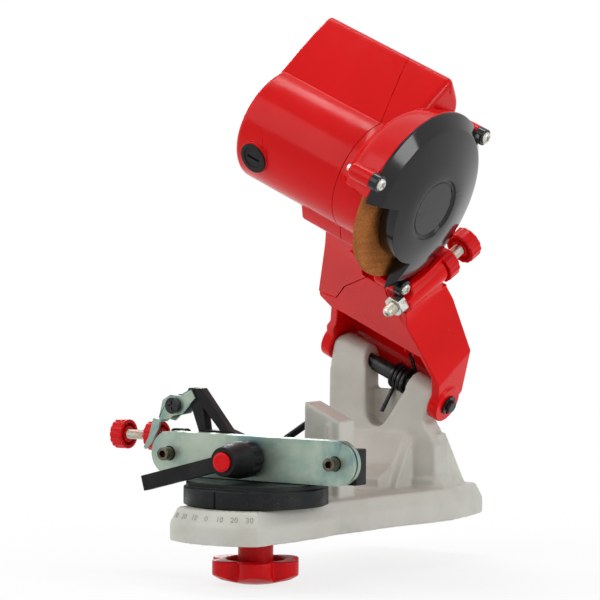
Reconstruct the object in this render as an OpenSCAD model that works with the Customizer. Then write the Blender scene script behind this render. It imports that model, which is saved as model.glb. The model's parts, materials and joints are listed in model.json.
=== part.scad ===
// Electric chainsaw sharpener: a bench grinder head that swings down on a chain vise.
// Origin: turntable axis on the underside of the base. +Z up, +Y towards the pivot posts,
// +X to the side of the grinding wheel. The operator stands at -Y.

/* [Layout] */
// Tilt of the motor and pivot axes, down towards the wheel
tilt = 25; // [20:1:30]
// Angle by which the head stands raised at rest
raise = 44; // [38:1:46]
// Distance from the turntable axis back to the pivot axis
pivot_y = 151; // [145:1:158]
// Height of the pivot axis above the bench, at the middle of the base
pivot_z = 91.6; // [90:0.5:95]

/* [Base casting] */
// Radius of the front apron that carries the angle scale
apron_r = 54; // [52:0.5:58]
// Half width of the front apron's arc
apron_half = 31.5; // [28:0.5:34]
// Half width of the base at its waist
waist_half = 36; // [34:0.5:38]
// Half width of the base under the posts
foot_half = 52; // [50:0.5:56]
// Half width of the base at its rear edge
rear_half = 44.5; // [42:0.5:48]
// Distance from the turntable axis back to the rear edge
rear_y = 197; // [190:1:205]
// Height of the upright edge of the base
edge_h = 10.5; // [9:0.5:12]
// Height of the deck of the base
deck_h = 19.6; // [18:0.2:21]
// Wall of the casting around its underside pockets
cast_wall = 6; // [5:0.5:7]
// Thickness of the deck above the pockets
deck_wall = 7; // [6:0.5:9]
// Radius of the two bench bolt holes
bolt_hole_r = 4.2; // [3.5:0.1:4.5]
// Distance between the two bench bolt holes
bolt_spacing = 64; // [60:1:68]
// Distance from the turntable axis back to the bench bolt holes
bolt_y = 131; // [128:1:132]

/* [Pivot posts] */
// Thickness of the posts
post_t = 17; // [15:0.5:18]
// Radius of the post tops around the pivot axis
post_top_r = 9.5; // [9:0.25:11]
// Distance from the middle to each post's outer face, along the pivot axis
post_reach = 39.7; // [38:0.1:40]
// Distance from the middle to the left post's inner face
left_inner = 12.5; // [12:0.25:13.5]
// Distance from the middle to the right post's inner end, along the pivot axis
right_inner = 19.5; // [19:0.5:21]
// Radius of the pivot shaft
pivot_r = 4; // [3.5:0.25:4.25]
// Half length of the pivot shaft
pivot_half = 51.5; // [51:0.25:53]

/* [Return spring] */
// Radius of the spring wire
wire_r = 1.3; // [1.1:0.05:1.35]
// Mean radius of the spring's coil
coil_r = 7.2; // [7.1:0.1:7.6]
// Number of turns of the coil
coil_turns = 4; // [3:1:4]

/* [Depth stop] */
// Width of the anvil pillar that the depth screw meets
pillar_w = 25; // [22:0.5:27]
// Depth of the anvil pillar
pillar_d = 18; // [16:0.5:20]
// Distance from the turntable axis back to the pillar's front
pillar_y = 51; // [50:0.5:52]
// Radius of the depth screw
depth_r = 3.75; // [3.5:0.25:4]
// Distance of the depth screw from the middle, along the pivot axis
depth_m = 20; // [18:0.5:21]
// Distance of the depth screw's tip in front of the pivot axis
depth_y = 87.6; // [86:0.2:89]
// Lean of the depth screw towards the pivot axis
depth_lean = 9; // [6:0.5:10]
// Length of screw that shows below the hexagon nut
depth_show = 8; // [6:0.5:9]

/* [Motor] */
// Outer radius of the motor housing
motor_r = 36.5; // [36:0.25:38]
// Wall of the motor housing
motor_wall = 2.5; // [2:0.1:2.8]
// Distance from the pivot axis forward to the motor axis
motor_y = 148.6; // [147:0.2:150]
// Height of the motor axis above the pivot axis, head lowered
motor_u = 33.6; // [33:0.2:35]
// Distance from the middle to the motor's closed end
motor_end = 97; // [96:0.5:100]
// Distance from the middle to the seam between the two housings
seam_m = 18.5; // [17:0.5:19]
// Width of the hump on the motor housing
hump_w = 35; // [32:0.5:35.5]
// Height of the hump's top above the motor axis
hump_h = 63; // [60:0.5:66]
// Radius of the hump's top edges
hump_round = 13; // [11:0.5:14]
// Radius of the motor shaft
shaft_r = 5; // [4.5:0.25:5.5]
// Radius of the rotor's iron core
rotor_r = 19; // [18:0.25:19.25]
// Thickness of the stator's iron ring
stator_ring = 6; // [4:0.25:7]

/* [Wheel and guard] */
// Radius of the grinding wheel
wheel_r = 52.5; // [50:0.25:53]
// Thickness of the grinding wheel
wheel_t = 3.2; // [3:0.1:3.4]
// Radius of the wheel's bore
wheel_bore_r = 11.1; // [10:0.1:11.1]
// Distance of the wheel's mid-plane from the middle, along the motor axis
wheel_m = 12.2; // [12:0.1:12.4]
// Outer radius of the guard
guard_r = 57.8; // [57:0.2:58.5]
// Wall of the guard
guard_wall = 2.5; // [2.2:0.1:2.8]
// Distance of the guard's centre disc from the middle, along the motor axis
guard_front = 31; // [30.5:0.25:32]
// Half angle of the opening at the foot of the guard
guard_gap = 45; // [40:1:46]
// Radius from the motor axis to the guard's screws
ear_ring = 60.5; // [60:0.25:61]

/* [Vise] */
// Radius of the turntable disc
disc_r = 43; // [42:0.25:44]
// Height of the turntable disc
disc_h = 13.4; // [12.5:0.2:13.6]
// Half distance between the rail screws
rail_half = 59; // [57:0.5:60]
// Half height of the rails, and the radius of their ends
rail_r = 13.2; // [12.5:0.1:13.4]
// Thickness of each rail
rail_t = 3.2; // [3:0.1:3.3]
// Chain gap between the rails at rest
chain_gap = 1.6; // [1.3:0.1:1.8]
// Distance of the rear rail's front face in front of the turntable axis
gap_y = 1.5; // [1:0.1:2]
// Height of the rail screws above the bench
rail_z = 46.9; // [46.5:0.1:47.5]
// Angle at which the clamp lever hangs below the level
lever_angle = 15; // [12:1:18]
// Length of the clamp lever's arm from its hub axis
lever_len = 63; // [58:1:66]
// Radius of the clamp lever's hub
hub_r = 10.8; // [10.4:0.2:11.2]

/* [Lock knob] */
// Radius over the wings of the lock knob
knob_r = 27.3; // [26:0.1:28]
// Number of wings on the lock knob
knob_wings = 6; // [5:1:7]

/* [Chain stop] */
// Height of the chain stop's adjusting screw above the bench
stop_z = 55.5; // [55:0.25:56.5]
// Distance of the adjusting screw behind the turntable axis
stop_y = 8.6; // [8.4:0.2:9.4]
// Radius of the red thumbwheels
thumb_r = 9; // [8.4:0.2:9.2]
// Height of the red thumbwheels
thumb_h = 8.6; // [8:0.2:9]

/* [Fits] */
// Radial running clearance of shafts and screws in their bores
run = 0.05; // [0.03:0.01:0.08]
// Clearance between bodies that pass each other
pass = 0.3; // [0.3:0.05:0.4]
// Clearance between parts that are screwed or pressed together
seat = 0.02; // [0.01:0.01:0.03]

/* [Hidden] */
$fn = 64;
eps = 0.01;
ct = cos(tilt);
st = sin(tilt);
cheek_in = post_reach + pass;
cheek_out = cheek_in + 6;
boss_out = cheek_out + 1.5;
clip_t = 1.2;
sleeve_r = pivot_r + 1.2;
sleeve_from = 1.7 - left_inner;
coil_pitch = 2*wire_r + 0.3;
coil_from = 4.4;
hump_front = motor_y + motor_r - 0.5;
hump_rear = hump_front - hump_w;
hump_top = motor_u + hump_h;
hump_end = -1.5;
seam_slope = 15.5;
flange_m = 4;
house_in = motor_r - motor_wall;
air_gap = 0.6;
fan_r = house_in - 3;
nut_h = 6.5;
nut_r = 7.2;
nut_u = -4.2;
depth_len = depth_show + nut_h + 66;
rear_front_y = -gap_y;
front_back_y = -gap_y - chain_gap;
front_front_y = front_back_y - rail_t;
disc_z = deck_h + pass;
rail_low = rail_z - rail_r;
rail_top = rail_z + rail_r;
stud_r = 5;
thumb_flutes = 14;
guard_back = flange_m + seat;
rim_m = 18.4;
ear_back = 12;
ear_front = 23.5;
ear_angles = [92, 212, 332];
skirt_r = 36.7;
skirt_m = wheel_m + wheel_t/2 + 1;
brush_m = -80;
brush_angles = [-108, 72];
screw_x = -rail_half - 3;
lock_x = screw_x - 12.7;
stop_screw_from = lock_x - 31.8;
stop_screw_to = -39;
stop_knob_gap = 16.4;
depth_knob_gap = 10.5;
table_limit = 35;

// ---- shared frames and shapes ----

// Frame of the pivot axis: x runs along the axis, z square to it, as the posts stand
module at_pivot() {
  translate([0, pivot_y, pivot_z]) rotate([0, tilt, 0]) children();
}

// Frame of the head, drawn as it lies when lowered, and raised as it stands at rest
module in_head() {
  at_pivot() rotate([-raise, 0, 0]) children();
}

// Puts a part drawn along +z onto an axis parallel to the pivot, starting at m
module along_m(m, y, u) {
  translate([m, -y, u]) rotate([0, 90, 0]) children();
}

module on_motor(m) {
  along_m(m, motor_y, motor_u) children();
}

// Turns a part drawn at radius +x into the direction of the angle on the motor axis
module motor_turn(angle) {
  translate([0, -motor_y, motor_u]) rotate([angle, 0, 0]) children();
}

// Frame of the depth screw: z runs up along the screw from the nut's lower face
module on_depth() {
  translate([depth_m, -depth_y + 1.3, nut_u]) rotate([-depth_lean, 0, 0]) children();
}

module tube(r_out, r_in, h) {
  difference() {
    cylinder(r = r_out, h = h);
    translate([0, 0, -1]) cylinder(r = r_in, h = h + 2);
  }
}

module hex_prism(r, h) {
  cylinder(r = r, h = h, $fn = 6);
}

// Fluted thumbwheel, hollow on its lower side, with a hub and four ribs
module thumbwheel(bore) {
  difference() {
    union() {
      difference() {
        cylinder(r = thumb_r, h = thumb_h);
        translate([0, 0, -1]) cylinder(r = thumb_r - 2, h = thumb_h - 1.5);
        for (i = [0:thumb_flutes - 1])
          rotate(i*360/thumb_flutes) translate([thumb_r + 0.7, 0, 1.5]) cylinder(r = 1.2, h = thumb_h, $fn = 16);
      }
      cylinder(r = bore + 2, h = thumb_h);
      for (i = [0:3])
        rotate(i*90) translate([bore + 1, -0.7, 2]) cube([thumb_r - bore - 2.5, 1.4, thumb_h - 3]);
    }
    translate([0, 0, -1]) cylinder(r = bore, h = thumb_h + 2);
  }
}

// ---- base casting ----

// Stations of the base's outline behind the apron: distance back and half width
stations = [[-28, apron_half + 1.5], [-7, waist_half], [16, waist_half + 0.5], [36, waist_half],
  [57, waist_half + 3], [83, waist_half + 5], [101, foot_half - 8], [120, foot_half - 3],
  [143, foot_half], [168, foot_half - 2.5], [rear_y - 3, rear_half]];
apron_y = -sqrt(apron_r*apron_r - apron_half*apron_half);

// One side of the outline drawn inwards by an inset, from front to rear
function side_points(inset) = concat(
  [for (i = [0:8]) let(a = asin(apron_half/apron_r)*i/8) [(apron_r - inset)*sin(a), -(apron_r - inset)*cos(a)]],
  [for (s = stations) [s[1] - inset, s[0]]],
  [[rear_half - inset - 3, rear_y - inset]]);

function outline(inset) = let(p = side_points(inset), n = len(p))
  concat(p, [for (i = [n - 1:-1:1]) [-p[i][0], p[i][1]]]);

// Slab with upright edges up to z1 and bevelled above, from outlines with the same number of points
module bevel_slab(low, high, z1, z2) {
  n = len(low);
  polyhedron(
    points = concat([for (p = low) [p[0], p[1], -5]], [for (p = low) [p[0], p[1], z1]], [for (p = high) [p[0], p[1], z2]]),
    faces = concat([[for (i = [0:n - 1]) i]], [[for (i = [n - 1:-1:0]) 2*n + i]],
      [for (k = [0, n]) for (i = [0:n - 1]) [k + i, k + n + i, k + n + (i + 1) % n, k + (i + 1) % n]]));
}

// Front view of the two posts with the slot between them, in world x and z
function axis_point(s, u) = [s*ct + u*st, pivot_z - s*st + u*ct];

module post_face() {
  polygon([[-47, deck_h - 2], [-40.6, 34], [-39.8, 92], axis_point(-post_reach, -3),
    axis_point(-post_reach, 4), axis_point(-post_reach + 4, post_top_r + 1), [-left_inner, 125],
    [-left_inner, 63], [-9.5, 58], [-4, 56.2], [0, 57.6], [3.5, 62],
    axis_point(right_inner, -post_top_r + 6), axis_point(right_inner, post_top_r + 1),
    axis_point(post_reach, post_top_r + 1), axis_point(post_reach, -post_top_r - 5),
    [39, 46], [39.5, 28], [47, deck_h - 2]]);
}

module posts() {
  intersection() {
    translate([0, pivot_y + 40, 0]) rotate([90, 0, 0]) linear_extrude(80) post_face();
    union() {
      translate([-100, pivot_y - post_t/2, 0]) cube([200, post_t, 80]);
      at_pivot() translate([-100, -post_t/2, -150]) cube([200, post_t, 150]);
      at_pivot() along_m(-100, 0, 0) cylinder(r = post_top_r, h = 200);
    }
  }
}

// The anvil's top lies parallel to the motor axis, just under the lowered depth screw
anvil_u = nut_u - depth_show*cos(depth_lean) - pass;
function anvil_z(x) = pivot_z + (anvil_u - x*st)/ct;
pillar_x = depth_m*ct + anvil_u*st - pillar_w/2;

module pillar() {
  translate([0, pillar_y + pillar_d, 0]) rotate([90, 0, 0]) linear_extrude(pillar_d)
    polygon([[pillar_x - 1, deck_h - 2], [pillar_x, anvil_z(pillar_x)],
      [pillar_x + pillar_w, anvil_z(pillar_x + pillar_w)], [pillar_x + pillar_w + 1, deck_h - 2]]);
  translate([pillar_x + pillar_w - 7, pillar_y, deck_h - 2]) cylinder(r = 1.6, h = anvil_z(pillar_x + pillar_w) - deck_h);
}

// Ramp in front of the posts, ribs at their feet and behind them, and a step along them
module gussets() {
  translate([-24, 0, 0]) rotate([90, 0, 90]) linear_extrude(41)
    polygon([[pivot_y - 40, deck_h - 2], [pivot_y - 40, deck_h + 7], [pivot_y - 24, deck_h + 15],
      [pivot_y - 7, deck_h + 36], [pivot_y, deck_h + 36], [pivot_y, deck_h - 2]]);
  translate([16, 0, 0]) rotate([90, 0, 90]) linear_extrude(6)
    polygon([[pivot_y - 30, deck_h - 2], [pivot_y - 7, deck_h + 34], [pivot_y, deck_h + 34], [pivot_y, deck_h - 2]]);
  for (x = [-38, -4, 31])
    translate([x, 0, 0]) rotate([90, 0, 90]) linear_extrude(7)
      polygon([[pivot_y, deck_h - 2], [pivot_y, deck_h + 34], [pivot_y + 7, deck_h + 34], [pivot_y + 34, deck_h - 2]]);
  translate([-43, pivot_y - 10.5, deck_h - 2]) cube([83, 23.5, 7]);
}

module scale_marks() {
  for (a = [-table_limit:5:table_limit])
    rotate(a) translate([-0.4, -disc_r - 4.5, deck_h - 0.6]) cube([0.8, 4, 2]);
}

module base_casting() {
  color("gainsboro") difference() {
    union() {
      intersection() {
        bevel_slab(outline(0), outline(10), edge_h, 2*deck_h - edge_h);
        translate([-80, -80, 0]) cube([160, 300, deck_h]);
      }
      posts();
      pillar();
      gussets();
      translate([24, 62, -2]) cylinder(r = 2.5, h = 4);
    }
    // Underside pockets: one under the waist, one under the posts, one around the stud boss
    translate([0, 0, -3]) linear_extrude(deck_h - deck_wall + 3)
      difference() {
        polygon([[-waist_half + cast_wall, 50], [waist_half - cast_wall, 50], [waist_half - cast_wall + 3, 84],
          [foot_half - cast_wall - 8, 112], [-foot_half + cast_wall + 8, 112], [-waist_half + cast_wall - 3, 84]]);
        translate([24, 62]) circle(r = 5);
      }
    translate([0, 0, -3]) linear_extrude(deck_h - deck_wall + 3)
      polygon([[-foot_half + cast_wall + 2, 148], [foot_half - cast_wall - 2, 148],
        [rear_half - cast_wall - 1, rear_y - cast_wall - 2], [-rear_half + cast_wall + 1, rear_y - cast_wall - 2]]);
    translate([0, 0, -3]) difference() {
      cylinder(r = waist_half - cast_wall - 1, h = deck_h - deck_wall + 3);
      cylinder(r = 15, h = 40);
    }
    // Stud bore and the recess that centres the turntable
    translate([0, 0, -5]) cylinder(r = stud_r + pass, h = 40);
    // Bench bolt holes with spot faces
    for (x = [-bolt_spacing/2, bolt_spacing/2]) {
      translate([x, bolt_y, -5]) cylinder(r = bolt_hole_r, h = 40);
      translate([x, bolt_y, deck_h - 0.8]) cylinder(r = bolt_hole_r + 2.6, h = 20);
    }
    at_pivot() along_m(-80, 0, 0) cylinder(r = pivot_r + run, h = 160);
    on_guide() translate([0, 0, -10]) cylinder(r = guide_r, h = 12);
    scale_marks();
  }
}

// ---- pivot ----

module pivot_shaft() {
  color("dimgray") at_pivot() along_m(-pivot_half, 0, 0) cylinder(r = pivot_r, h = 2*pivot_half);
}

module pivot_sleeve() {
  color("black") at_pivot() along_m(sleeve_from, 0, 0)
    tube(sleeve_r, pivot_r + run, right_inner - 0.9 - sleeve_from);
}

module retaining_rings() {
  color("dimgray") at_pivot() for (m = [-boss_out - pass - clip_t, boss_out + pass]) along_m(m, 0, 0) difference() {
    tube(pivot_r + 2.2, pivot_r + run, clip_t);
    translate([0, -1.5, -1]) cube([20, 3, 5]);
  }
}

// The spring's wire follows a lower leg, the coil and an upper leg
leg_low = [8.5, -4.5, -24.5];
leg_high = [16.4, -13.2, 20.4];
coil_start = -27;
coil_end = coil_start + 360*coil_turns + 77;
function coil_point(a) = [coil_from + (a - coil_start)/360*coil_pitch, coil_r*cos(a), coil_r*sin(a)];
coil_steps = 22*coil_turns;
spring_path = concat([leg_low],
  [for (i = [0:coil_steps]) coil_point(coil_start + (coil_end - coil_start)*i/coil_steps)], [leg_high]);

// Round wire along a list of points, with one ring at each point
module wire(path, r, sides) {
  n = len(path);
  function unit(v) = v/norm(v);
  tangent = [for (i = [0:n - 1]) unit(path[min(i + 1, n - 1)] - path[max(i - 1, 0)])];
  side = [for (t = tangent) unit(cross(t, abs(t[0]) > 0.9 ? [0, 1, 0] : [1, 0, 0]))];
  ring = [for (i = [0:n - 1]) for (k = [0:sides - 1])
    path[i] + r*cos(k*360/sides)*side[i] + r*sin(k*360/sides)*cross(tangent[i], side[i])];
  polyhedron(points = ring, faces = concat([[for (k = [0:sides - 1]) k]],
    [for (i = [0:n - 2]) for (k = [0:sides - 1])
      [i*sides + k, (i + 1)*sides + k, (i + 1)*sides + (k + 1) % sides, i*sides + (k + 1) % sides]],
    [[for (k = [sides - 1:-1:0]) (n - 1)*sides + k]]));
}

module return_spring() {
  color("black") at_pivot() wire(spring_path, wire_r, 8);
}

// ---- chain guide rod on the pillar's left side ----

guide_r = 2.2;
guide_z = 65.4;

// Frame of the rod: z runs out of the pillar's left side, down and to the left
module on_guide() {
  translate([pillar_x, guide_y, guide_z]) rotate([0, -90 - 33, 0]) children();
}

guide_y = pillar_y + pillar_d/2;

module chain_guide() {
  color("black") on_guide() union() {
    translate([0, 0, -9]) cylinder(r = guide_r - seat, h = 40);
    translate([0, 0, 31 - eps]) cylinder(r1 = guide_r - seat, r2 = guide_r - 1, h = 1.2);
  }
}

// ---- swing arm ----

arm_left = -49.5;
arm_right = 24;
arm_front = 118;

// Side view of the arm, as distance in front of the pivot (negative) and height
module arm_side() {
  polygon([[-arm_front, 3], [-100, 3], [-46, -1], [-20, -4], [-14, -5], [0, -8], [8, 4], [5, 16],
    [-22, 29], [-54, 39], [-84, 42], [-arm_front, 42]]);
}

// Plan view of the arm's outside: it flares from the depth screw out to the right cheek
module arm_plan() {
  polygon([[-34.5, -arm_front], [arm_right, -arm_front], [arm_right, -62], [cheek_out, -24],
    [cheek_out, 30], [-cheek_out, 30], [-cheek_out, -18], [-42.5, -25], [-40.5, -39],
    [arm_left, -44], [arm_left, -50]]);
}

// Plan view of the hollow between the cheeks
module arm_hollow_plan() {
  polygon([[-34, -96], [arm_right - 4, -96], [arm_right - 4, -60], [cheek_in, -27],
    [cheek_in, 31], [-cheek_in, 31], [-cheek_in, -18], [-37, -26], [-35, -40]]);
}

module arm_envelope() {
  intersection() {
    translate([-80, 0, 0]) rotate([90, 0, 90]) linear_extrude(160) arm_side();
    translate([0, 0, -30]) linear_extrude(100) arm_plan();
  }
}

// Hollow under the roof: closed below in front, open towards the posts
module arm_hollow() {
  intersection() {
    translate([-80, 0, 0]) rotate([90, 0, 90]) linear_extrude(160)
      polygon([[-96, 7], [-40, 4], [-40, -40], [40, -40], [40, 40], [0, 14.5], [-22, 24.5], [-54, 35], [-84, 38], [-96, 38]]);
    translate([0, 0, -60]) linear_extrude(120) arm_hollow_plan();
  }
}

// Seam between the arm and its side cover, on the underside
module cover_plan(grow) {
  polygon([[arm_left - 10, -arm_front - 5], [-1 + grow, -arm_front - 5], [-1 + grow, -103], [-3.6 + grow, -93],
    [-26.5 + grow, -67.5 + grow], [-34.7 + grow, -51.6 + grow], [arm_left - 10, -45 + grow]]);
}

// Room that the arm and its cover leave for the housings, the guard and its ear
module housing_room() {
  on_motor(-motor_end - 20) cylinder(r = motor_r + seat, h = motor_end + 80);
  on_motor(-seam_m + 2) cylinder(r1 = motor_r - 0.6 + pass, r2 = 52 + pass, h = 15.5);
  on_motor(-1 - eps) cylinder(r = 52 + pass, h = 5.1);
  on_motor(flange_m - pass) cylinder(r = guard_r + pass, h = 60);
  motor_turn(332) along_m(-9.4, -ear_ring, 0) cylinder(r = 5.2 + pass, h = 60);
  motor_turn(332) translate([-9.4, 30, -12]) cube([9.7 + flange_m, 30, 16.5 + pass]);
}

module swing_arm() {
  color("red") in_head() difference() {
    union() {
      difference() {
        arm_envelope();
        arm_hollow();
        translate([0, 0, -20]) linear_extrude(32) cover_plan(0);
      }
      // Bosses around the pivot shaft
      along_m(-boss_out, 0, 0) cylinder(r = 12, h = boss_out - cheek_in);
      along_m(cheek_in, 0, 0) cylinder(r = 12, h = boss_out - cheek_in);
      // Half-round boss along the depth screw
      intersection() {
        on_depth() translate([0, 0, nut_h]) cylinder(r = 8.5, h = 43 - nut_h);
        translate([-50, -arm_front, -20]) cube([200, arm_front, 100]);
      }
      // Cross rib with two prongs that hold the spring's upper leg
      translate([-38, -41.5, 2.5]) cube([73.5, 5, 10]);
      for (m = [12.6, 18.4]) translate([m, -38, 4]) cube([1.8, 13, 5]);
    }
    housing_room();
    along_m(-80, 0, 0) cylinder(r = pivot_r + run, h = 160);
    on_depth() translate([0, 0, -30]) cylinder(r = depth_r + run, h = 120);
    on_depth() translate([0, 0, -20]) cylinder(r = 10, h = 20 + nut_h);
    on_depth() translate([0, 0, 43]) cylinder(r = thumb_r + 6, h = 30);
    for (p = peg_places) translate([p[0], p[1], 8]) cylinder(r = 2.5, h = 12);
  }
}

// Places of the two pegs on the cover that are pressed into the arm
peg_places = [[-15, -107], [-20, -84]];

module arm_cover() {
  color("red") in_head() difference() {
    union() {
      difference() {
        intersection() {
          arm_envelope();
          translate([0, 0, -20]) linear_extrude(32 - seat) cover_plan(-pass);
        }
        intersection() {
          translate([arm_left + 3, 3 - arm_front, 6]) cube([60, 66, 20]);
          translate([0, 0, -20]) linear_extrude(60) cover_plan(-4);
          translate([0, 0, -20]) linear_extrude(60) polygon([[-31.5, -arm_front], [10, -arm_front], [10, -40], [-46.5, -40], [-46.5, -52]]);
        }
      }
      for (p = peg_places) translate([p[0], p[1], 2]) cylinder(r = 2.5 - seat, h = 16);
    }
    housing_room();
  }
}

// ---- motor housings ----

// Half section of the motor housing, radius against height from the closed end
module housing_half(r, length, round_r) {
  square([r - round_r, length]);
  translate([0, round_r]) square([r, length - round_r]);
  translate([r - round_r, round_r]) circle(r = round_r);
}

module housing_round(r, from, to, round_r) {
  on_motor(from) rotate_extrude() intersection() {
    housing_half(r, to - from, round_r);
    square([r + 1, to - from]);
  }
}

// Section of the hump, in distance forward and height
module hump_section(inset) {
  r = hump_round - inset;
  front = hump_front - inset;
  rear = hump_rear + inset;
  top = hump_top - inset;
  translate([-front, motor_u]) square([front - rear, top - motor_u - r]);
  translate([-front + r, motor_u]) square([front - rear - 2*r, top - motor_u]);
  translate([-front + r, top - r]) circle(r = r);
  translate([-rear - r, top - r]) circle(r = r);
}

module hump(inset, from, to) {
  translate([from, 0, 0]) rotate([90, 0, 90]) linear_extrude(to - from) hump_section(inset);
}

// Everything on the closed side of the seam, which leans back across the hump
module seam_side(gap) {
  translate([0, 50, 0]) rotate([90, 0, 0]) linear_extrude(400)
    polygon([[-200, -200], [-seam_m - gap, -200], [-seam_m - gap, motor_u + 16],
      [-seam_m - seam_slope - gap, hump_top], [-seam_m - seam_slope - gap, 300], [-200, 300]]);
}

// Box under the housings to which the arm is joined
saddle_left = -49.25;

module saddle(from) {
  translate([from, 0, 0]) rotate([90, 0, 90]) linear_extrude(flange_m - from)
    polygon([[-136, 20], [-134.5, 1.6], [-132, 0.4], [-123, -0.8], [-120, 0.2], [-arm_front - seat, 2.5],
      [-arm_front - seat, 42], [-136, 46]]);
}

module brush_frame(angle) {
  translate([brush_m, -motor_y, motor_u]) rotate([angle, 0, 0]) rotate([-90, 0, 0]) children();
}

module motor_housing() {
  color("red") in_head() difference() {
    intersection() {
      union() {
        housing_round(motor_r, -motor_end, 0, 8);
        hump(0, -motor_end + 0.5, hump_end);
        saddle(saddle_left);
        for (a = brush_angles) brush_frame(a) cylinder(r = 10.5, h = motor_r + 1);
      }
      seam_side(0);
    }
    housing_round(house_in, -motor_end + 3, 5, 6);
    hump(motor_wall, -motor_end + 3, -5);
    for (a = brush_angles) brush_frame(a) cylinder(r = 8.5, h = motor_r + 5);
    // Openings in the closed end for the switch and the cord inlet
    translate([-motor_end - 5, -switch_y - 11.2, switch_u - 14.2]) cube([20, 22.4, 28.4]);
    along_m(-motor_end - 5, inlet_y, inlet_u) cylinder(r = 5.5 + seat, h = 20);
  }
  // Seat of the rear bearing
  color("red") in_head() on_motor(-motor_end + 3 - eps) tube(14, 11 + seat, 8);
}

module front_housing() {
  color("red") in_head() difference() {
    union() {
      difference() {
        union() {
          difference() {
            union() {
              on_motor(-seam_m) cylinder(r = motor_r, h = seam_m + flange_m);
              saddle(-seam_m);
              difference() {
                union() {
                  on_motor(-seam_m + 2.5) cylinder(r1 = motor_r, r2 = 52, h = 15);
                  on_motor(-1) cylinder(r = 52, h = 1 + flange_m);
                }
                // The flare leaves room for the wheel at the foot of the guard
                wheel_gap(-30, 60, motor_r - 1, 3);
              }
              hump(0, -50, hump_end);
            }
            seam_side(-seat);
          }
          for (a = ear_angles) motor_turn(a) along_m(-9, -ear_ring, 0) cylinder(r = 5.2, h = ear_back + 9);
          for (a = ear_angles) motor_turn(a) translate([-9, 40, -4.5]) cube([9 + flange_m, 20, 9]);
        }
        on_motor(-60) cylinder(r = house_in, h = 51);
        hump(motor_wall, -60, hump_end - 2.5);
      }
      // Web that carries the front bearing
      on_motor(-9) cylinder(r = 20, h = 9 + flange_m);
    }
    on_motor(-9 - eps) cylinder(r = 14 + seat, h = 9);
    on_motor(-20) cylinder(r = shaft_r + 2, h = 40);
    for (a = ear_angles) motor_turn(a) along_m(-1, -ear_ring, 0) cylinder(r = 2 + seat, h = 60);
  }
}

// Wedge that opens the foot of the guard and housing, between two places along m
module wheel_gap(from, length, r_in, extra) {
  difference() {
    on_motor(from) linear_extrude(length) wedge_2d(guard_gap + extra);
    on_motor(from - 1) cylinder(r = r_in, h = length + 2);
  }
}

// The wedge points down: in this plane x is down and y is back
module wedge_2d(half) {
  polygon(concat([[0, 0]], [for (i = [-4:4]) [90*cos(i*half/4 + 1), 90*sin(i*half/4 + 1)]]));
}

// ---- inside the motor ----

module brush_caps() {
  color("dimgray") in_head() for (a = brush_angles) brush_frame(a) translate([0, 0, motor_r - 3]) difference() {
    union() {
      cylinder(r = 8.4, h = 4.5);
      translate([0, 0, 4 + seat]) tube(9.6, 6.5, 1.2);
    }
    translate([-4, -0.8, 3]) cube([8, 1.6, 3]);
  }
}

module brush_holders() {
  color("goldenrod") in_head() for (a = brush_angles) brush_frame(a) translate([0, 0, 14]) difference() {
    translate([-4.6, -5.6, 0]) cube([9.2, 11.2, motor_r - 17.2]);
    translate([-2.6, -4.1, -1]) cube([5.2, 8.2, 40]);
  }
}

module carbon_brushes() {
  color("black") in_head() for (a = brush_angles) brush_frame(a) translate([-2.5, -4, 11 + pass]) cube([5, 8, 16]);
}

module stator_core() {
  color("silver") in_head() on_motor(-66) linear_extrude(36) difference() {
    union() {
      difference() {
        circle(r = house_in - seat);
        circle(r = house_in - stator_ring);
      }
      intersection() {
        circle(r = house_in - stator_ring + 1);
        union() {
          rotate(45) polygon([[0, 0], [60, -28], [60, 28]]);
          rotate(225) polygon([[0, 0], [60, -28], [60, 28]]);
        }
      }
    }
    circle(r = rotor_r + air_gap);
  }
}

module field_coils() {
  color("chocolate") in_head() for (a = [135, 315]) on_motor(-72) rotate(a) linear_extrude(48) intersection() {
    difference() {
      circle(r = house_in - stator_ring - 0.4);
      circle(r = rotor_r + air_gap + 0.8);
    }
    polygon([[0, 0], [60, -50], [60, 50]]);
  }
}

module rear_bearing() {
  color("silver") in_head() on_motor(-motor_end + 3) tube(11, shaft_r + run, 7);
}

module front_bearing() {
  color("silver") in_head() on_motor(-8.5) tube(14, shaft_r + run, 8);
}

switch_y = motor_y + 18.4;
switch_u = motor_u + 36.4;
inlet_y = motor_y - 18.6;
inlet_u = motor_u - 3.6;

module switch_body() {
  color("black") in_head() difference() {
    union() {
      translate([-motor_end - 1.2, -switch_y - 13, switch_u - 16]) cube([1.2 - seat, 26, 32]);
      translate([-motor_end - 1, -switch_y - 11, switch_u - 14]) cube([19, 22, 28]);
    }
    translate([-motor_end - 5, -switch_y - 6.6, switch_u - 12]) cube([12, 13.2, 24]);
    translate([-motor_end + 4, 8 - switch_y, switch_u]) rotate([90, 0, 0]) cylinder(r = 1.3 + run, h = 16);
  }
}

// Rocker on a pin across the switch, pressed in at its upper end
module switch_rocker() {
  color("black") in_head() translate([-motor_end + 4, -switch_y, switch_u]) union() {
    rotate([90, 0, 0]) translate([0, 0, -6.2]) linear_extrude(12.4)
      polygon([[-7.2, -9.6], [-4.6, 0], [-4.2, 9.6], [-1, 9.8], [0, 3], [0, -3], [-1, -9.8]]);
    translate([0, 7.7, 0]) rotate([90, 0, 0]) cylinder(r = 1.3, h = 15.4);
  }
}

module cord_inlet() {
  color("black") in_head() along_m(-motor_end - 14, inlet_y, inlet_u) difference() {
    union() {
      cylinder(r = 5.5, h = 13);
      translate([0, 0, 9]) cylinder(r = 7.5, h = 5 - seat);
      translate([0, 0, 13]) cylinder(r = 5.5, h = 3.8);
    }
    translate([0, 0, -1]) cylinder(r = 3.4, h = 22);
  }
}

// ---- guard ----

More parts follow.
